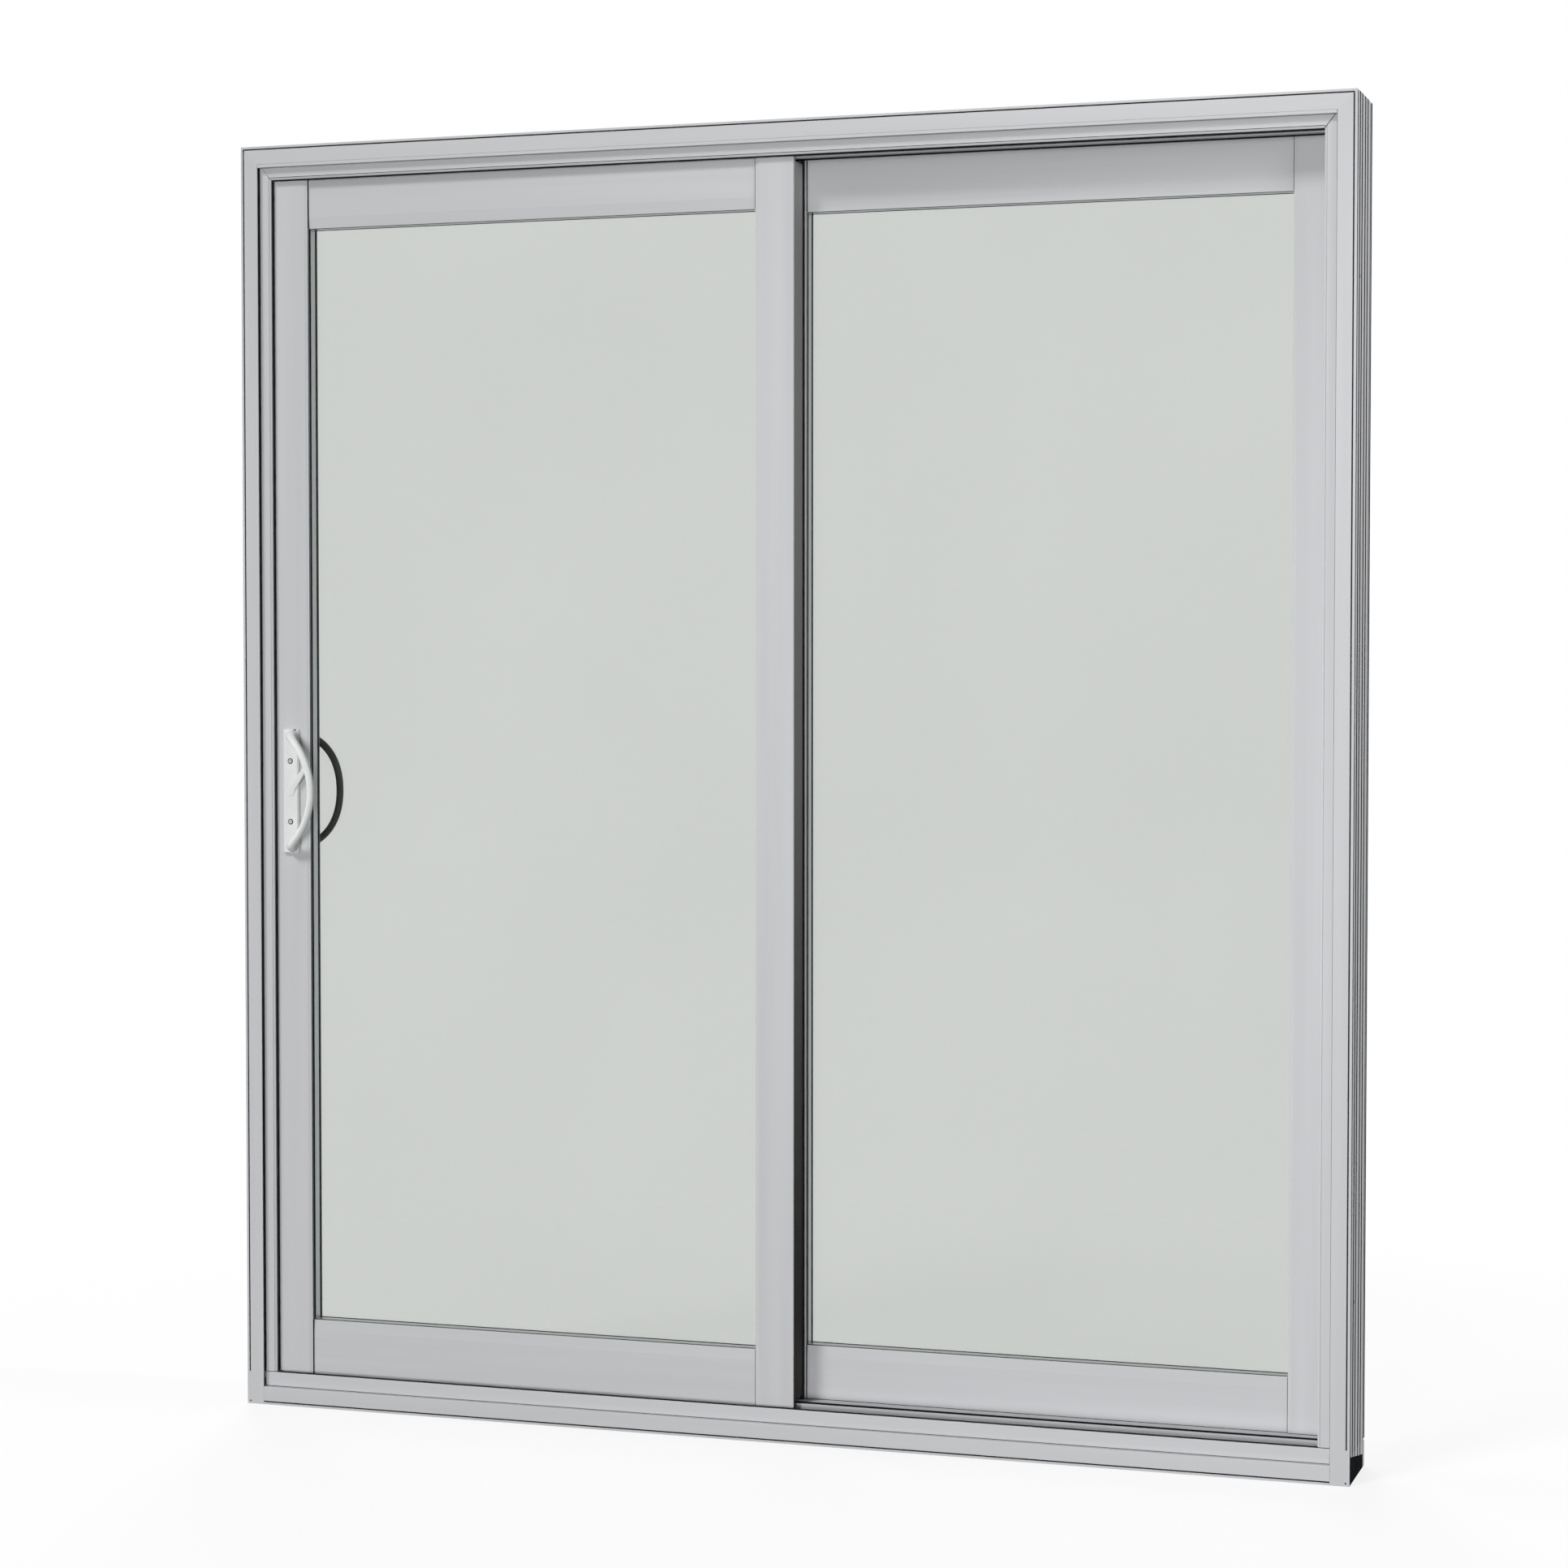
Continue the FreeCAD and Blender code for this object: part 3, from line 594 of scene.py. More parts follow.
@dataclass
class Studio:
    """Camera, lamps, world and floor around the door, with places in metres and angles in degrees."""

    camera_at: Point = (1.6494, -4.9841, 1.2047)
    yaw: float = 18.302
    pitch: float = 2.057
    lens: float = 77.58
    sensor: float = 36.0
    lamps: tuple[Sun | Spot, ...] = (
        Sun("key", (-0.343, -0.618, 0.707), strength=1.65, spread=14.0, gloss=True),
        Sun("front_fill", (0.0, -1.0, -0.06), strength=1.6, spread=24.0),
        Spot("right_front", (0.2, -3.2, 1.0), (1.1, 0.0, 1.0), power=75.0, cone=52.0),
        Spot("right_spot", (2.6, -1.6, 2.6), (0.3, 0.0, 1.75), power=85.0, cone=38.0),
        Sun("right_rim", (0.965, 0.03, 0.26), strength=1.85, spread=5.0, gloss=True),
        Sun("left_rim", (-0.965, 0.03, 0.26), strength=1.3, spread=10.0),
        Sun("back", (-0.35, 0.8, 0.5), strength=2.4, spread=30.0),
    )
    ambient: float = 0.02
    ambient_tint: Colour = (0.95, 0.97, 1.0)
    white: Colour = (1.0, 1.0, 1.0)
    floor_half: float = 14.0
    floor_pale: Colour = (0.86, 0.86, 0.86)
    floor_bounce: Colour = (0.14, 0.14, 0.14)
    shadow_share: float = 0.16
    shadow_near: float = 0.9
    shadow_far: float = 2.2

    def build(self) -> None:
        """Make everything that isn't part of the door."""
        self.make_camera()
        for lamp in self.lamps:
            lamp.build()
        self.make_world()
        self.make_floor()

    def make_camera(self) -> None:
        """Set the camera at the photograph's place and angle."""
        data = bpy.data.cameras.new("camera")
        data.sensor_fit = "HORIZONTAL"
        data.sensor_width = self.sensor
        data.lens = self.lens
        camera = bpy.data.objects.new("camera", data)
        bpy.context.scene.collection.objects.link(camera)
        camera.location = self.camera_at
        camera.rotation_euler = (math.radians(90 - self.pitch), 0.0, math.radians(self.yaw))
        bpy.context.scene.camera = camera

    def make_world(self) -> None:
        """White background to the eye and in glass, and a soft grey fill on everything else."""
        world = bpy.data.worlds.new("studio")
        bpy.context.scene.world = world
        world.use_nodes = True
        nodes = world.node_tree.nodes
        links = world.node_tree.links
        nodes.clear()
        output = nodes.new("ShaderNodeOutputWorld")
        fill = nodes.new("ShaderNodeBackground")
        fill.inputs["Color"].default_value = (*self.ambient_tint, 1.0)
        fill.inputs["Strength"].default_value = self.ambient
        white = nodes.new("ShaderNodeBackground")
        white.inputs["Color"].default_value = (*self.white, 1.0)
        mix = nodes.new("ShaderNodeMixShader")
        links.new(seen_by_eye(world.node_tree), mix.inputs["Fac"])
        links.new(fill.outputs[0], mix.inputs[1])
        links.new(white.outputs[0], mix.inputs[2])
        links.new(mix.outputs[0], output.inputs["Surface"])

    def make_floor(self) -> None:
        """Pale floor that is white to the eye but for the door's shadow close to it.

        It casts no shadow itself, so that the level fill from the front reaches the door's foot.
        """
        half = self.floor_half
        corners = [(-half, -half, 0), (half, -half, 0), (half, half, 0), (-half, half, 0)]
        mesh = bpy.data.meshes.new("floor")
        mesh.from_pydata(corners, [], [range(len(corners))])
        mesh.materials.append(self.floor_material())
        floor = bpy.data.objects.new("floor", mesh)
        bpy.context.scene.collection.objects.link(floor)
        floor.visible_shadow = False

    def floor_material(self) -> bpy.types.Material:
        """Build the floor's node material: pale to the eye, dim to light that bounces off it.

        Returns:
            The finished material.
        """
        graph = Graph("floor_pale")
        path = graph.add("ShaderNodeLightPath")
        base = graph.add("ShaderNodeBsdfDiffuse")
        tone = graph.tint(path.outputs["Is Diffuse Ray"], self.floor_pale, self.floor_bounce)
        graph.join(tone, base.inputs["Color"])
        white = graph.add("ShaderNodeEmission", Color=(*self.white, 1.0), Strength=1.0)
        away = graph.nodes.new("ShaderNodeVectorMath")
        away.operation = "LENGTH"
        graph.join(graph.add("ShaderNodeTexCoord").outputs["Object"], away.inputs[0])
        near = graph.add("ShaderNodeMapRange", From_Min=self.shadow_near, From_Max=self.shadow_far,
                         To_Min=1 - self.shadow_share, To_Max=1.0)
        graph.join(away.outputs["Value"], near.inputs["Value"])
        share = graph.nodes.new("ShaderNodeMath")
        share.operation = "MULTIPLY"
        graph.join(near.outputs["Result"], share.inputs[0])
        graph.join(seen_by_eye(graph.material.node_tree), share.inputs[1])
        mix = graph.add("ShaderNodeMixShader")
        graph.join(share.outputs[0], mix.inputs["Fac"])
        graph.join(base.outputs[0], mix.inputs[1])
        graph.join(white.outputs[0], mix.inputs[2])
        return graph.finish(mix)


def point(x: float, depth: float, z: float) -> Vector:
    """Place in metres from millimetres, with the depth counted from the frame's indoor face."""
    return Vector((x, depth - HALF_DEEP, z)) * MM


def beside(side: int, outer: float, inner: float) -> Span:
    """Span along X between two distances from the middle, on the left or right."""
    low, high = sorted((side * outer, side * inner))
    return (low, high)


def across(half: float) -> Span:
    """Span along X that reaches as far left as right."""
    return (-half, half)


def add_piece(name: str, mesh: bmesh.types.BMesh, body: Body,
              material: bpy.types.Material, smooth: bool = False) -> bpy.types.Object:
    """Put a mesh into the scene as a piece that rides on a body.

    Args:
        name: Name of the piece.
        mesh: Its faces; freed here.
        body: The body that it moves with.
        material: Its finish.
        smooth: True for faces that shade as one curved surface.

    Returns:
        The new object.
    """
    bmesh.ops.recalc_face_normals(mesh, faces=mesh.faces)
    for face in mesh.faces:
        face.smooth = smooth
    data = bpy.data.meshes.new(name)
    mesh.to_mesh(data)
    mesh.free()
    data.materials.append(material)
    piece = bpy.data.objects.new(name, data)
    bpy.context.scene.collection.objects.link(piece)
    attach(piece, body.value)
    LOG.info("built %s on %s", name, body.value)
    return piece


def add_rings(mesh: bmesh.types.BMesh, rings: Sequence[Sequence[Vector]]) -> None:
    """Add a closed skin over rings of equal length, with a face on both ends.

    Args:
        mesh: Mesh to add to.
        rings: Points of each ring, in order along the piece.
    """
    skins = [[mesh.verts.new(corner) for corner in ring] for ring in rings]
    count = len(skins[0])
    for near, far in zip(skins, skins[1:]):
        for index in range(count):
            after = (index + 1) % count
            mesh.faces.new((near[index], far[index], far[after], near[after]))
    mesh.faces.new(skins[0])
    mesh.faces.new(list(reversed(skins[-1])))


def circle(seat: Vector, axis: Vector, radius: float, rise: float, sides: int,
           lobes: float = 0.0) -> list[Vector]:
    """Points of a ring round an axis.

    Args:
        seat: Place in metres on the axis.
        axis: Unit direction of the axis.
        radius: Radius of the ring in millimetres.
        rise: Its place along the axis from the seat, in millimetres.
        sides: Number of points.
        lobes: Share of the radius lost between four lobes.

    Returns:
        The ring's points in metres.
    """
    right = axis.orthogonal().normalized()
    over = axis.cross(right)
    points = []
    for index in range(sides):
        turn = 2 * math.pi * index / sides
        reach = radius * (1 - lobes * math.sin(2 * turn) ** 2)
        outward = right * math.cos(turn) + over * math.sin(turn)
        points.append(seat + (axis * rise + outward * reach) * MM)
    return points


@dataclass(frozen=True)
class Bar:
    """Straight strip with bevelled long edges, its spans in millimetres."""

    x: Span
    depth: Span
    z: Span
    bevel: float = 0.25

    def add_to(self, mesh: bmesh.types.BMesh) -> None:
        """Add the strip to a mesh.

        Args:
            mesh: Mesh to add to.
        """
        spans = (self.x, self.depth, self.z)
        lengths = [high - low for low, high in spans]
        run = lengths.index(max(lengths))
        first, second = (axis for axis in range(3) if axis != run)
        cut = self.bevel * min(lengths[first], lengths[second])
        (a_low, a_high), (b_low, b_high) = spans[first], spans[second]
        outline = ((a_low + cut, b_low), (a_high - cut, b_low), (a_high, b_low + cut),
                   (a_high, b_high - cut), (a_high - cut, b_high), (a_low + cut, b_high),
                   (a_low, b_high - cut), (a_low, b_low + cut))
        rings = []
        for end in spans[run]:
            ring = []
            for a, b in outline:
                corner = [end, end, end]
                corner[first] = a
                corner[second] = b
                ring.append(point(*corner))
            rings.append(ring)
        add_rings(mesh, rings)


@dataclass(frozen=True)
class Screw:
    """Pan-head screw with a four-lobed recess and a plain shank, sizes in millimetres."""

    radius: float = 4.0
    height: float = 1.6
    recess: float = 2.3
    recess_depth: float = 1.0
    lobe_share: float = 0.45
    shank_radius: float = 1.9
    shank_long: float = 1.0
    sides: int = 48

    def add_to(self, mesh: bmesh.types.BMesh, seat: Vector, axis: Vector) -> None:
        """Add the screw to a mesh.

        Args:
            mesh: Mesh to add to.
            seat: Place in metres where the head's flat side lies.
            axis: Unit direction out of the head.
        """
        floor = self.height - self.recess_depth
        plain = ((self.shank_radius, -self.shank_long), (self.shank_radius, 0.0), (self.radius, 0.0),
                 (self.radius, 0.5 * self.height), (0.93 * self.radius, 0.85 * self.height),
                 (0.8 * self.radius, self.height))
        lobed = ((self.recess, self.height), (0.8 * self.recess, floor))
        rings = [circle(seat, axis, radius, rise, self.sides) for radius, rise in plain]
        rings += [circle(seat, axis, radius, rise, self.sides, self.lobe_share) for radius, rise in lobed]
        add_rings(mesh, rings)


@dataclass
class Weatherseals:
    """Black pile strips behind the frame's inner edges and along the interlock, sizes in millimetres."""

    finishes: Finishes
    back: float = 13.0
    front: float = 18.3
    root: float = 9.0
    show: float = 1.8
    web: float = 1.2
    web_flare: float = 1.6
    taper: Span = (2.0, 4.0)
    edge: float = 0.7
    shoulders: Span = (1.0, 1.4)
    corner_gap: float = 0.2
    sill_edge: float = 53.0
    sill_gap: float = 0.4
    sill_outline: tuple[Span, ...] = (
        (9.45, 52.0), (9.9, 53.2), (10.3, 53.45), (13.4, 53.45), (13.55, 53.2),
        (13.55, 49.0), (13.05, 49.0), (13.05, 53.05), (10.3, 53.05), (9.8, 52.0))
    interlock: Span = (30.5, 36.2)
    interlock_depth: Span = (61.6, 66.2)
    interlock_height: Span = (57.3, 1976.9)
    interlock_bevel: Span = (0.6, 0.9)
    pitch: float = 9.0
    fray: float = 0.12

    def build(self) -> None:
        """Make every strip."""
        clear = self.show + self.corner_gap
        level = [Vector((x, 0, 0)) for x in across(STRIP - clear)]
        sill = [Vector((x, 0, 0)) for x in across(FLANGE - self.sill_gap)]
        upright = [Vector((0, 0, z)) for z in (self.sill_edge + clear, STRIP_HIGH - clear)]
        meeting = [Vector((0, 0, z)) for z in self.interlock_height]
        pile = self.pile_outline()
        right_edge = STRIP + self.show
        self.strip("head_pile_seal", [(0, depth, STRIP_HIGH - reach) for depth, reach in pile], level)
        self.strip("sill_edge_seal", [(0, depth, z) for depth, z in self.sill_outline], sill)
        self.strip("left_pile_seal", [(reach - STRIP, depth, 0) for depth, reach in pile], upright)
        self.strip("right_pile_seal", [(right_edge - reach, depth, 0) for depth, reach in pile], upright)
        self.strip("interlock_pile_seal", self.interlock_outline(), meeting)

    def pile_outline(self) -> list[Span]:
        """Corners (depth, reach) of a pile strip, the reach counted from the frame's edge.

        Returns:
            The corners in order round the strip.
        """
        flare_start, flare_end = (reach - self.root for reach in self.taper)
        back_shoulder, front_shoulder = self.shoulders
        return [(self.back, -self.root), (self.back + self.web, -self.root),
                (self.back + self.web_flare, flare_start), (self.front, flare_end),
                (self.front, self.show - self.edge), (self.front - front_shoulder, self.show),
                (self.back + back_shoulder, self.show), (self.back, self.show - self.edge)]

    def interlock_outline(self) -> list[Point]:
        """Corners of the pile strip between the two meeting stiles, bevelled towards the slider.

        Returns:
            The corners (X, depth, Z) in order round the strip.
        """
        (near, far), (front, back) = self.interlock, self.interlock_depth
        side, deep = self.interlock_bevel
        return [(near, back, 0), (far, back, 0), (far, front + deep, 0),
                (far - side, front, 0), (near + side, front, 0), (near, front + deep, 0)]

    def strip(self, name: str, outline: Sequence[Point], ends: Sequence[Vector]) -> None:
        """Build one strip whose pile is a little uneven along its run.

        Args:
            name: Name of the piece.
            outline: Corners (X, depth, Z) across the run.
            ends: Start and end of the run, added to the corners.
        """
        chance = random.Random(name)
        run = ends[1] - ends[0]
        frays_to = Vector((1, 0, 0)) if run.z else Vector((0, 0, 1))
        steps = max(2, round(run.length / self.pitch))
        rings = []
        for step in range(steps + 1):
            start = ends[0] + run * (step / steps) + frays_to * chance.uniform(-self.fray, self.fray)
            rings.append([point(*(Vector(corner) + start)) for corner in outline])
        mesh = bmesh.new()
        add_rings(mesh, rings)
        add_piece(name, mesh, Body.FRAME, self.finishes.gasket)


@dataclass
class ShadeAndJointLines:
    """Dark bars that paint the shade in the frame's grooves and steps and at the joints of its members, with
    mitre lines, pins and rib feet, in millimetres.
    """

    finishes: Finishes
    bead_left: Span = (3.5, 6.3)
    bead_right: Span = (3.5, 5.7)
    bead_level: Span = (3.9, 5.4)
    bead_depth: Span = (-0.06, 3.9)
    foot_top: float = 53.2
    shade_thick: float = 0.4
    gap: float = 0.2
    step_front: float = 1.0
    step_foot_back: float = 4.6
    ribs: tuple[float, ...] = (7.5, 27.0, 48.0, 77.0, 101.0, 129.0)
    rib_half: float = 3.2
    rib_floor: float = 2.45
    rib_cover_half: float = 4.0
    rib_cover: float = 0.25
    back_edge: Span = (135.5, 142.8)
    cap_top: float = 42.3
    cap_front: float = 4.0
    cap_slope: float = 0.18
    sill_line: Section = ((8.5, 8.95), (29.05, 29.6))
    head_line: Section = ((8.85, 9.5), (1982.15, 1982.75))
    rail_foot: Section = ((38.8, 792.3), (69.3, 69.95))
    stile_foot_start: float = 792.7
    stile_foot_depth: Span = (65.3, 65.95)
    foot_rise: float = 0.7
    track_line: Span = (34.6, 37.4)
    track_rise: float = 0.2
    guide_line: Span = (42.5, 65.5)
    guide_drop: Span = (0.4, 0.02)
    mitre_halves: tuple[tuple[int, float], ...] = ((LEFT, 0.15), (RIGHT, 0.35))
    mitre_thick: float = 0.1
    pin_inset: float = 5.4
    pin_high: float = 4.6
    pin_profile: tuple[Span, ...] = ((1.3, 0.0), (1.3, 0.1), (1.0, 0.25), (0.5, 0.3))
    pin_sides: int = 24

    def build(self) -> None:
        """Make every line."""
        # painted shade: dark strips in the bead groove
        self.fill("bead_painted_shade", self.bead_bars())
        # painted shade: dark sheets on the flange steps' sides
        self.fill("step_painted_shade", self.step_bars())
        # painted shade: dark strips and covers in the outer grooves
        self.fill("rib_painted_shade", self.rib_bars())
        # painted shade: thin dark lines in the steps and gaps of sill, head, track and guide
        self.fill("joint_painted_shade", self.joint_bars())
        # dark mitre joint lines; the wider right one is partly painted shade
        self.build_mitres()
        self.build_foot_covers()
        self.build_pins()

    def fill(self, name: str, bars: Iterable[Bar]) -> None:
        """Build one piece from its bars.

        Args:
            name: Name of the piece.
            bars: The strips that it is made of.
        """
        mesh = bmesh.new()
        for bar in bars:
            bar.add_to(mesh)
        add_piece(name, mesh, Body.FRAME, self.finishes.gasket)

    def bead_bars(self) -> list[Bar]:
        """Dark strips in the bead groove round the frame's indoor face, painting the groove's shade.

        Returns:
            The left, right, top and bottom strip.
        """
        near, far = self.bead_level
        top = (HEIGHT - far, HEIGHT - near)
        tall = (self.foot_top, top[0] - self.gap)
        sides = [beside(side, HALF_WIDE - outer, HALF_WIDE - inner)
                 for side, (outer, inner) in ((LEFT, self.bead_left), (RIGHT, self.bead_right))]
        bars = [Bar(x, self.bead_depth, tall) for x in sides]
        bars.append(Bar(across(HALF_WIDE - far), self.bead_depth, top))
        bars.append(Bar(across(FLANGE - self.shade_thick), self.bead_depth, self.bead_level))
        return bars

    def step_bars(self) -> list[Bar]:
        """Dark sheets on the jambs' flange steps that paint the steps' shade, narrower in front of the sill's
        strip.

        Returns:
            An upper and a lower sheet for each jamb.
        """
        bars = []
        for side in (LEFT, RIGHT):
            x = beside(side, FLANGE, FLANGE - self.shade_thick)
            upper = (self.foot_top, FLANGE_HIGH - self.shade_thick)
            lower = (FLANGE_WIDE, self.foot_top - self.shade_thick)
            bars.append(Bar(x, (self.step_front, STRIP_DEPTH), upper))
            bars.append(Bar(x, (self.step_front, self.step_foot_back), lower))
        return bars

    def rib_bars(self) -> list[Bar]:
        """Dark strips in the grooves of the frame's outer sides and top, with dark covers on the sides,
        painting the grooves' shade.

        Returns:
            The strips and covers of both sides, then the strips of the top.
        """
        inner = HALF_WIDE - self.rib_floor
        groove_top = HEIGHT - self.rib_floor
        grooves = [(rib - self.rib_half, rib + self.rib_half) for rib in self.ribs]
        covers = [(rib - self.rib_cover_half, rib + self.rib_cover_half) for rib in self.ribs[1:-1]]
        covers.append(self.back_edge)
        bars = []
        for side in (LEFT, RIGHT):
            groove_shade = beside(side, HALF_WIDE, inner)
            proud = beside(side, HALF_WIDE + self.rib_cover, HALF_WIDE)
            bars += [Bar(groove_shade, groove, (self.cap_top, groove_top)) for groove in grooves]
            bars += [Bar(proud, cover, (self.cap_top, HEIGHT)) for cover in covers]
        bars += [Bar(across(inner), groove, (groove_top, HEIGHT)) for groove in grooves]
        return bars

    def joint_bars(self) -> list[Bar]:
        """Thin dark lines on the sill's step, under the head, at the fixed panel's foot, track and guide,
        painting the shade in these steps and gaps.

        Returns:
            One bar for each line.
        """
        wide = across(STRIP - self.gap)
        foot = (PLATFORM, PLATFORM + self.foot_rise)
        below_guide = (GUIDE_LOW - self.guide_drop[0], GUIDE_LOW - self.guide_drop[1])
        return [
            Bar(across(FLANGE - self.shade_thick), *self.sill_line),
            Bar(wide, *self.head_line),
            Bar(*self.rail_foot, foot),
            Bar((self.stile_foot_start, wide[1]), self.stile_foot_depth, foot),
            Bar(wide, self.track_line, (PLATFORM, PLATFORM + self.track_rise)),
            Bar(wide, self.guide_line, below_guide),
        ]

    def build_mitres(self) -> None:
        """Build the dark mitre joint lines of the strips at both top corners, fainter on the left; the wider
        right line also paints the shade in that corner.
        """
        mesh = bmesh.new()
        front = STRIP_DEPTH - self.mitre_thick
        for side, half in self.mitre_halves:
            corners = ((-half, front), (half, front), (half, STRIP_DEPTH), (-half, STRIP_DEPTH))
            add_rings(mesh, [[point(side * (x + shift), depth, z - shift) for shift, depth in corners]
                             for x, z in ((FLANGE, FLANGE_HIGH), (STRIP, STRIP_HIGH))])
        add_piece("mitre_lines", mesh, Body.FRAME, self.finishes.gasket)

    def build_foot_covers(self) -> None:
        """Build the white feet of the jambs' ribs, which reach over the end caps, lower at the back."""
        mesh = bmesh.new()
        for side in (LEFT, RIGHT):
            for rib, after in zip(self.ribs, self.ribs[1:]):
                front, back = rib + self.rib_cover_half, after - self.rib_cover_half
                corners = [(depth, self.cap_top - self.cap_slope * (depth - self.cap_front))
                           for depth in (front, back)]
                corners += [(back, self.cap_top), (front, self.cap_top)]
                add_rings(mesh, [[point(side * (HALF_WIDE + rise), depth, z) for depth, z in corners]
                                 for rise in (0.0, self.rib_cover)])
        add_piece("jamb_foot_covers", mesh, Body.FRAME, self.finishes.frame_upright)

    def build_pins(self) -> None:
        """Build the small pin heads low on both jambs."""
        mesh = bmesh.new()
        for side in (LEFT, RIGHT):
            seat = point(side * (HALF_WIDE - self.pin_inset), 0.0, self.pin_high)
            add_rings(mesh, [circle(seat, INDOORS, radius, rise, self.pin_sides)
                             for radius, rise in self.pin_profile])
        add_piece("jamb_pins", mesh, Body.FRAME, self.finishes.gasket)


@dataclass
class HeadTrim:
    """White trim that deepens the head's flange and edges its guide, sizes in millimetres."""

    finishes: Finishes
    end_gap: float = 0.5
    drop: float = 5.0
    nose: float = 0.6
    step: float = 8.9
    lip_gap: float = 0.4
    lip: Section = ((28.0, 42.0), (1976.0, 1978.5))

    def build(self) -> None:
        """Make the flange's trim and the guide's lip."""
        low = FLANGE_HIGH - self.drop
        outline = ((0.0, FLANGE_HIGH), (0.0, low + self.nose), (self.nose, low), (self.step, low),
                   (self.step, FLANGE_HIGH))
        trim = bmesh.new()
        add_rings(trim, [[point(x, depth, z) for depth, z in outline] for x in across(FLANGE - self.end_gap)])
        add_piece("head_flange_trim", trim, Body.FRAME, self.finishes.frame_level)
        lip = bmesh.new()
        Bar(across(STRIP - self.lip_gap), *self.lip).add_to(lip)
        add_piece("head_guide_lip", lip, Body.FRAME, self.finishes.frame_level)


@dataclass
class StileShadeLines:
    """Dark lines that paint the shade where one panel's rails meet its stiles, sizes in millimetres."""

    finishes: Finishes
    panel: Panel
    body: Body
    edge_stile: str
    foot_gap: float = 0.2
    gap: float = 0.2
    lip: float = 1.4
    setback: float = 3.95
    seat: float = 0.05
    shade_thick: float = 0.9

    def build(self) -> None:
        """Make the four lines."""
        panel = self.panel.value
        face = node_span(f"{panel}_{self.edge_stile}", Axis.DEPTH)[0] + HALF_DEEP
        depth = (face + self.lip, face + self.setback)
        left, right = node_span(f"{panel}_bottom_rail", Axis.X)
        mesh = bmesh.new()
        for rail, low_gap in (("bottom", self.foot_gap), ("top", self.gap)):
            low, high = node_span(f"{panel}_{rail}_rail", Axis.Z)
            tall = (low + low_gap, high - self.gap)
            Bar((left + self.seat, left + self.shade_thick), depth, tall).add_to(mesh)
            Bar((right - self.shade_thick, right - self.seat), depth, tall).add_to(mesh)
        # the dark bars paint the shade where rails meet stiles
        add_piece(f"{panel}_stile_painted_shade", mesh, self.body, self.finishes.gasket)


@dataclass
class InterlockShadeStrip:
    """Dark strip that paints the shade of the slider's interlock side, darker towards the bottom, with a
    short leaf on its skirt, sizes in millimetres.
    """

    finishes: Finishes
    side: Span = (33.85, 34.25)
    web: Section = ((19.6, 60.8), (64.2, 1970.5))
    skirt: Section = ((19.6, 26.8), (38.2, 64.0))

    def build(self) -> None:
        """Make the strip's two leaves."""
        mesh = bmesh.new()
        for leaf in (self.web, self.skirt):
            Bar(self.side, *leaf).add_to(mesh)
        # the dark strip is painted shade of the interlock side
        add_piece("interlock_painted_shade", mesh, Body.SLIDER, self.finishes.interlock)


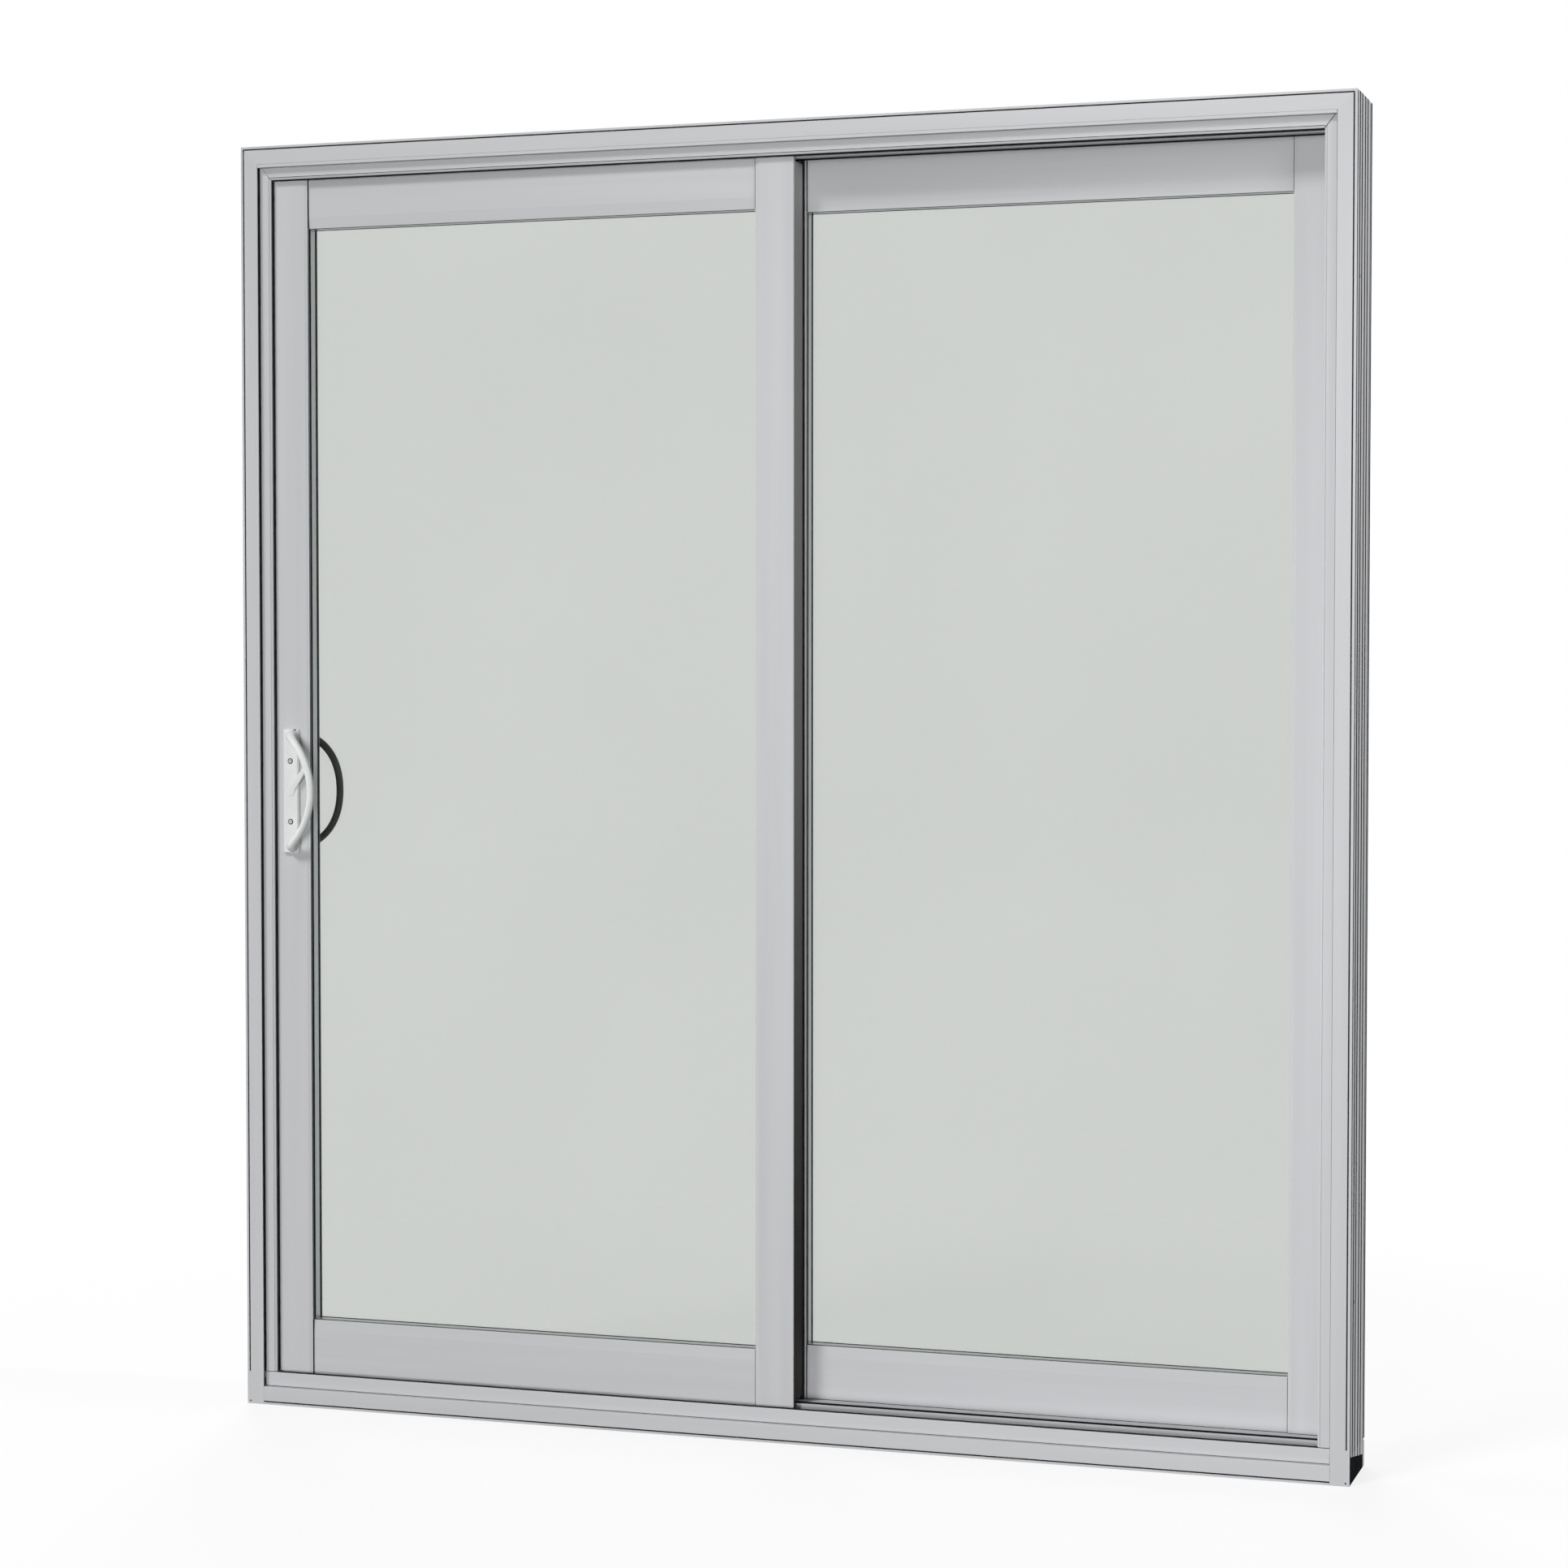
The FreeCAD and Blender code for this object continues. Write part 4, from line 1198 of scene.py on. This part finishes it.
@dataclass
class BowHandle:
    """Smooth bow grip with flared feet and the two screws of one handle, sizes in millimetres."""

    finishes: Finishes
    side: Side
    root_x: float = -815.0
    plate_front: float = 13.0
    span: float = 178.0
    lean_side: float = 46.4
    lean_out: float = 30.0
    radius_top: float = 6.2
    radius_low: float = 5.3
    flare: float = 3.8
    flare_long: float = 12.0
    foot_out: float = 18.0
    foot_side: float = -2.0
    apex_reach: float = 60.0
    grip_rings: int = 90
    grip_sides: int = 32
    screw: Screw = Screw(radius=2.9, recess=1.8, shank_long=0.3)
    screw_spacing: float = 98.0
    screw_sink: float = 1.2
    # dark ring under each screw head: painted shade of the gap round it
    shade_ring: float = 4.5
    shade_ring_bore: float = 2.0
    shade_ring_thick: float = 1.1
    shade_ring_bevel: float = 0.2
    shade_ring_sides: int = 40
    # dark dot in each screw recess: painted shade of the recess
    dot: float = 0.9
    dot_rise: Span = (1.75, 2.0)
    dot_sides: int = 16
    # dark bar in the plate's top edge: painted shade of a slot
    slot_shade_x: Span = (-813.2, -808.6)
    slot_shade_depth: Span = (13.2, 14.8)
    slot_shade_z: Span = (1095.2, 1097.2)

    @property
    def indoors(self) -> bool:
        """True for the handle on the indoor side."""
        return self.side is Side.INDOOR

    @property
    def finish(self) -> bpy.types.Material:
        """Finish of this side's handle."""
        return self.finishes.handle_white if self.indoors else self.finishes.handle_dark

    @property
    def slot(self) -> str:
        """Material slot of this side's handle."""
        return "handle_white" if self.indoors else "handle_dark"

    def depth(self, indoor: float) -> float:
        """Depth of this side's place for an indoor one, mirrored for the outdoor handle."""
        return indoor if self.indoors else 2 * LOCK_DEPTH - indoor

    def build(self) -> None:
        """Make the grip and the screws."""
        self.build_grip()
        self.build_screws()

    def path(self, share: float) -> Vector:
        """Place on the bow's middle line.

        Args:
            share: Share of the way from the top foot to the bottom foot.

        Returns:
            Place (sideways, outward, up) in millimetres from the plate's middle.
        """
        upper = share <= 0.5
        t = 2 * share if upper else 2 * (1 - share)
        half = self.span / 2
        ends = (Vector((0, 0, half)), Vector((self.foot_side, self.foot_out, half)),
                Vector((self.lean_side, self.lean_out, self.apex_reach)),
                Vector((self.lean_side, self.lean_out, 0)))
        weights = ((1 - t) ** 3, 3 * t * (1 - t) ** 2, 3 * t ** 2 * (1 - t), t ** 3)
        spot = sum((end * weight for end, weight in zip(ends, weights)), Vector((0, 0, 0)))
        return spot if upper else Vector((spot.x, spot.y, -spot.z))

    def build_grip(self) -> None:
        """Sweep a round section along the bow, wider at both feet."""
        last = self.grip_rings
        spots = [self.path(step / last) for step in range(last + 1)]
        rings = []
        for step, spot in enumerate(spots):
            before, after = spots[max(0, step - 1)], spots[min(last, step + 1)]
            along = (after - before).normalized()
            if step in (0, last):
                along = Vector((0, 1 if step == 0 else -1, 0))
            right = along.cross(Vector((1, 0, 0))).normalized()
            over = along.cross(right)
            from_foot = min((spot - spots[0]).length, (spot - spots[-1]).length)
            radius = self.radius_top + (self.radius_low - self.radius_top) * step / last
            radius += self.flare * math.exp(-(from_foot / self.flare_long) ** 2)
            ring = []
            for index in range(self.grip_sides):
                angle = 2 * math.pi * index / self.grip_sides
                skin = spot + (right * math.cos(angle) + over * math.sin(angle)) * radius
                depth = self.depth(self.plate_front - skin.y)
                ring.append(point(self.root_x + skin.x, depth, LOCK_HEIGHT + skin.z))
            rings.append(ring)
        mesh = bmesh.new()
        add_rings(mesh, rings)
        side = self.side.value
        grip = add_piece(f"{side}_bow_grip", mesh, Body.SLIDER, self.finish, smooth=True)
        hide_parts(f"{side}_handle_grip")

    def build_screws(self) -> None:
        """Set a dark ring and a screw in each seat of the handle plate, with a dark dot in each recess, and a
        dark bar in its top edge: painted shade of the gap round each head, of the recess and of a slot.
        """
        screws = bmesh.new()
        shade_marks = bmesh.new()
        axis = INDOORS if self.indoors else OUTDOORS
        shoulder = self.shade_ring_thick - self.shade_ring_bevel
        profile = ((self.shade_ring_bore, 0.0), (self.shade_ring, 0.0), (self.shade_ring, shoulder),
                   (self.shade_ring - self.shade_ring_bevel, self.shade_ring_thick),
                   (self.shade_ring_bore, self.shade_ring_thick))
        for turn in (-1, 1):
            z = LOCK_HEIGHT + turn * self.screw_spacing / 2
            seat = point(PLATE_MIDDLE, self.depth(self.plate_front + self.screw_sink), z)
            add_rings(shade_marks, [circle(seat, axis, radius, rise, self.shade_ring_sides)
                                for radius, rise in profile])
            self.screw.add_to(screws, seat + axis * self.shade_ring_thick * MM, axis)
            add_rings(shade_marks, [circle(seat, axis, self.dot, rise, self.dot_sides)
                                for rise in self.dot_rise])
        near, far = sorted(self.depth(indoor) for indoor in self.slot_shade_depth)
        Bar(self.slot_shade_x, (near, far), self.slot_shade_z).add_to(shade_marks)
        side = self.side.value
        # rings, dots and bar are painted shade
        add_piece(f"{side}_handle_painted_shade", shade_marks, Body.SLIDER, self.finishes.gasket)
        add_piece(f"{side}_handle_screws", screws, Body.SLIDER, self.finish)


@dataclass
class ThumbLever:
    """Lever of the thumb latch, thin at its pivot and thicker towards its tip, sizes in millimetres."""

    finishes: Finishes
    back: float = 12.7
    lean: float = 36.6
    long: float = 44.0
    boss: float = 7.5
    neck: float = 5.2
    neck_at: float = 9.0
    tip: float = 4.5
    thin: float = 0.8
    thick: float = 4.5
    least: float = 0.2
    rings: int = 44
    section: tuple[Span, ...] = ((-1.0, 0.0), (-1.0, 0.45), (-0.82, 0.82), (-0.5, 1.0),
                                 (0.5, 1.0), (0.82, 0.82), (1.0, 0.45), (1.0, 0.0))

    def half_width(self, along: float) -> float:
        """Half of the lever's width, round at the boss and the tip.

        Args:
            along: Distance from the pivot towards the tip.

        Returns:
            The half width.
        """
        if along < 0:
            return math.sqrt(max(self.least ** 2, self.boss ** 2 - along ** 2))
        if along > self.long:
            return math.sqrt(max(self.least ** 2, self.tip ** 2 - (along - self.long) ** 2))
        if along < self.neck_at:
            return self.boss + (self.neck - self.boss) * along / self.neck_at
        return self.neck + (self.tip - self.neck) * (along - self.neck_at) / (self.long - self.neck_at)

    def ring(self, along: float) -> list[Vector]:
        """Points round the lever at one distance from the pivot.

        Args:
            along: Distance from the pivot towards the tip.

        Returns:
            The ring's points in metres.
        """
        sine, cosine = math.sin(math.radians(self.lean)), math.cos(math.radians(self.lean))
        wide = self.half_width(along)
        rise = self.thin + (self.thick - self.thin) * min(1.0, max(0.0, along / self.long))
        return [point(PLATE_MIDDLE + along * sine + aside * wide * cosine,
                      self.back - up * rise,
                      LOCK_HEIGHT + along * cosine - aside * wide * sine)
                for aside, up in self.section]

    def build(self) -> None:
        """Make the lever and hide the plain one."""
        length = self.boss + self.long + self.tip
        mesh = bmesh.new()
        add_rings(mesh, [self.ring(length * step / self.rings - self.boss) for step in range(self.rings + 1)])
        lever = add_piece("thumb_lever", mesh, Body.LATCH, self.finishes.handle_white)
        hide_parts("thumb_latch")


@dataclass
class FrameScrews:
    """Installation screws through the jambs and the small screws of lock plate and keeper, in millimetres."""

    finishes: Finishes
    install: Screw = Screw(5.4, 2.4, 2.9, 1.6, shank_radius=2.7, shank_long=19.0)
    install_x: float = 871.0
    install_depths: tuple[tuple[int, float], ...] = ((LEFT, 90.0), (RIGHT, 36.0))
    install_heights: Span = (266.0, 1766.0)
    small: Screw = Screw(3.4, 0.9, 1.8, 0.7, shank_radius=1.6, shank_long=0.5)
    plate_reach: float = 68.0
    keeper_reach: float = 46.0

    def build(self) -> None:
        """Make all the screws."""
        mesh = bmesh.new()
        for side, depth in self.install_depths:
            for z in self.install_heights:
                self.install.add_to(mesh, point(side * self.install_x, depth, z), Vector((-side, 0, 0)))
        add_piece("jamb_screws", mesh, Body.FRAME, self.finishes.steel)
        keeper_x = node_span("lock_keeper", Axis.X)[1]
        plate_x = node_span("mortise_lock", Axis.X)[0]
        self.pair("keeper_screws", keeper_x, Vector((1, 0, 0)), self.keeper_reach, Body.FRAME)
        self.pair("lock_plate_screws", plate_x, Vector((-1, 0, 0)), self.plate_reach, Body.SLIDER)

    def pair(self, name: str, x: float, axis: Vector, reach: float, body: Body) -> None:
        """Build two small screws above and below the lock's middle.

        Args:
            name: Name of the piece.
            x: Place of the plate's face.
            axis: Direction out of the heads.
            reach: Distance of each screw from the middle.
            body: The body that they move with.
        """
        mesh = bmesh.new()
        for turn in (-1, 1):
            self.small.add_to(mesh, point(x, LOCK_DEPTH, LOCK_HEIGHT + turn * reach), axis)
        add_piece(name, mesh, body, self.finishes.steel)


@dataclass
class DoorFrame:
    """Jambs, head, sill and what is fixed to them."""

    finishes: Finishes

    def dress(self) -> None:
        """Give the frame's nodes their finishes."""
        dress(("left_jamb", "right_jamb"), self.finishes.frame_upright)
        dress(("head", "head_guide", "sill"), self.finishes.frame_level)
        dress(("sill_end_cap_left", "sill_end_cap_right"), self.finishes.black_plastic)
        dress(("roller_track",), self.finishes.track)
        dress(("lock_keeper",), self.finishes.steel)


@dataclass
class GlazedPanel:
    """Stiles, rails and glazing of one panel."""

    finishes: Finishes
    panel: Panel
    stiles: tuple[str, str]

    def dress(self) -> None:
        """Give the panel's nodes their finishes."""
        panel = self.panel.value
        dress((f"{panel}_{stile}" for stile in self.stiles), self.finishes.frame_upright)
        dress((f"{panel}_{rail}_rail" for rail in ("top", "bottom")), self.finishes.frame_level)
        dress((f"{panel}_{pane}_pane" for pane in ("inner", "outer")), self.finishes.glass)
        dress((f"{panel}_spacer",), self.finishes.spacer)
        dress((f"{panel}_{side.value}_gasket" for side in Side), self.finishes.gasket)


@dataclass
class Hardware:
    """Handles, latch, lock and rollers of the sliding panel."""

    finishes: Finishes

    def dress(self) -> None:
        """Give the hardware's nodes their finishes."""
        dress(("indoor_handle_plate", "indoor_handle_grip", "thumb_latch"), self.finishes.handle_white)
        dress(("outdoor_handle_plate", "outdoor_handle_grip"), self.finishes.handle_dark)
        dress(("mortise_lock", "left_roller_carriage", "right_roller_carriage"), self.finishes.steel)
        dress(("left_roller_wheels", "right_roller_wheels"), self.finishes.nylon)


def main() -> None:
    """Build the studio and dress the door, piece by piece."""
    logging.basicConfig(level=logging.INFO)
    bpy.context.scene.view_settings.view_transform = "Standard"
    finishes = Finishes()
    Studio().build()
    DoorFrame(finishes).dress()
    GlazedPanel(finishes, Panel.FIXED, ("meeting_stile", "jamb_stile")).dress()
    GlazedPanel(finishes, Panel.SLIDER, ("lock_stile", "meeting_stile")).dress()
    Hardware(finishes).dress()
    Weatherseals(finishes).build()
    ShadeAndJointLines(finishes).build()
    HeadTrim(finishes).build()
    StileShadeLines(finishes, Panel.SLIDER, Body.SLIDER, "lock_stile").build()
    StileShadeLines(finishes, Panel.FIXED, Body.FRAME, "jamb_stile", foot_gap=0.8).build()
    InterlockShadeStrip(finishes).build()
    BowHandle(finishes, Side.INDOOR).build()
    BowHandle(finishes, Side.OUTDOOR, foot_out=24.0, apex_reach=72.0).build()
    ThumbLever(finishes).build()
    FrameScrews(finishes).build()


if __name__ == "__main__":
    main()
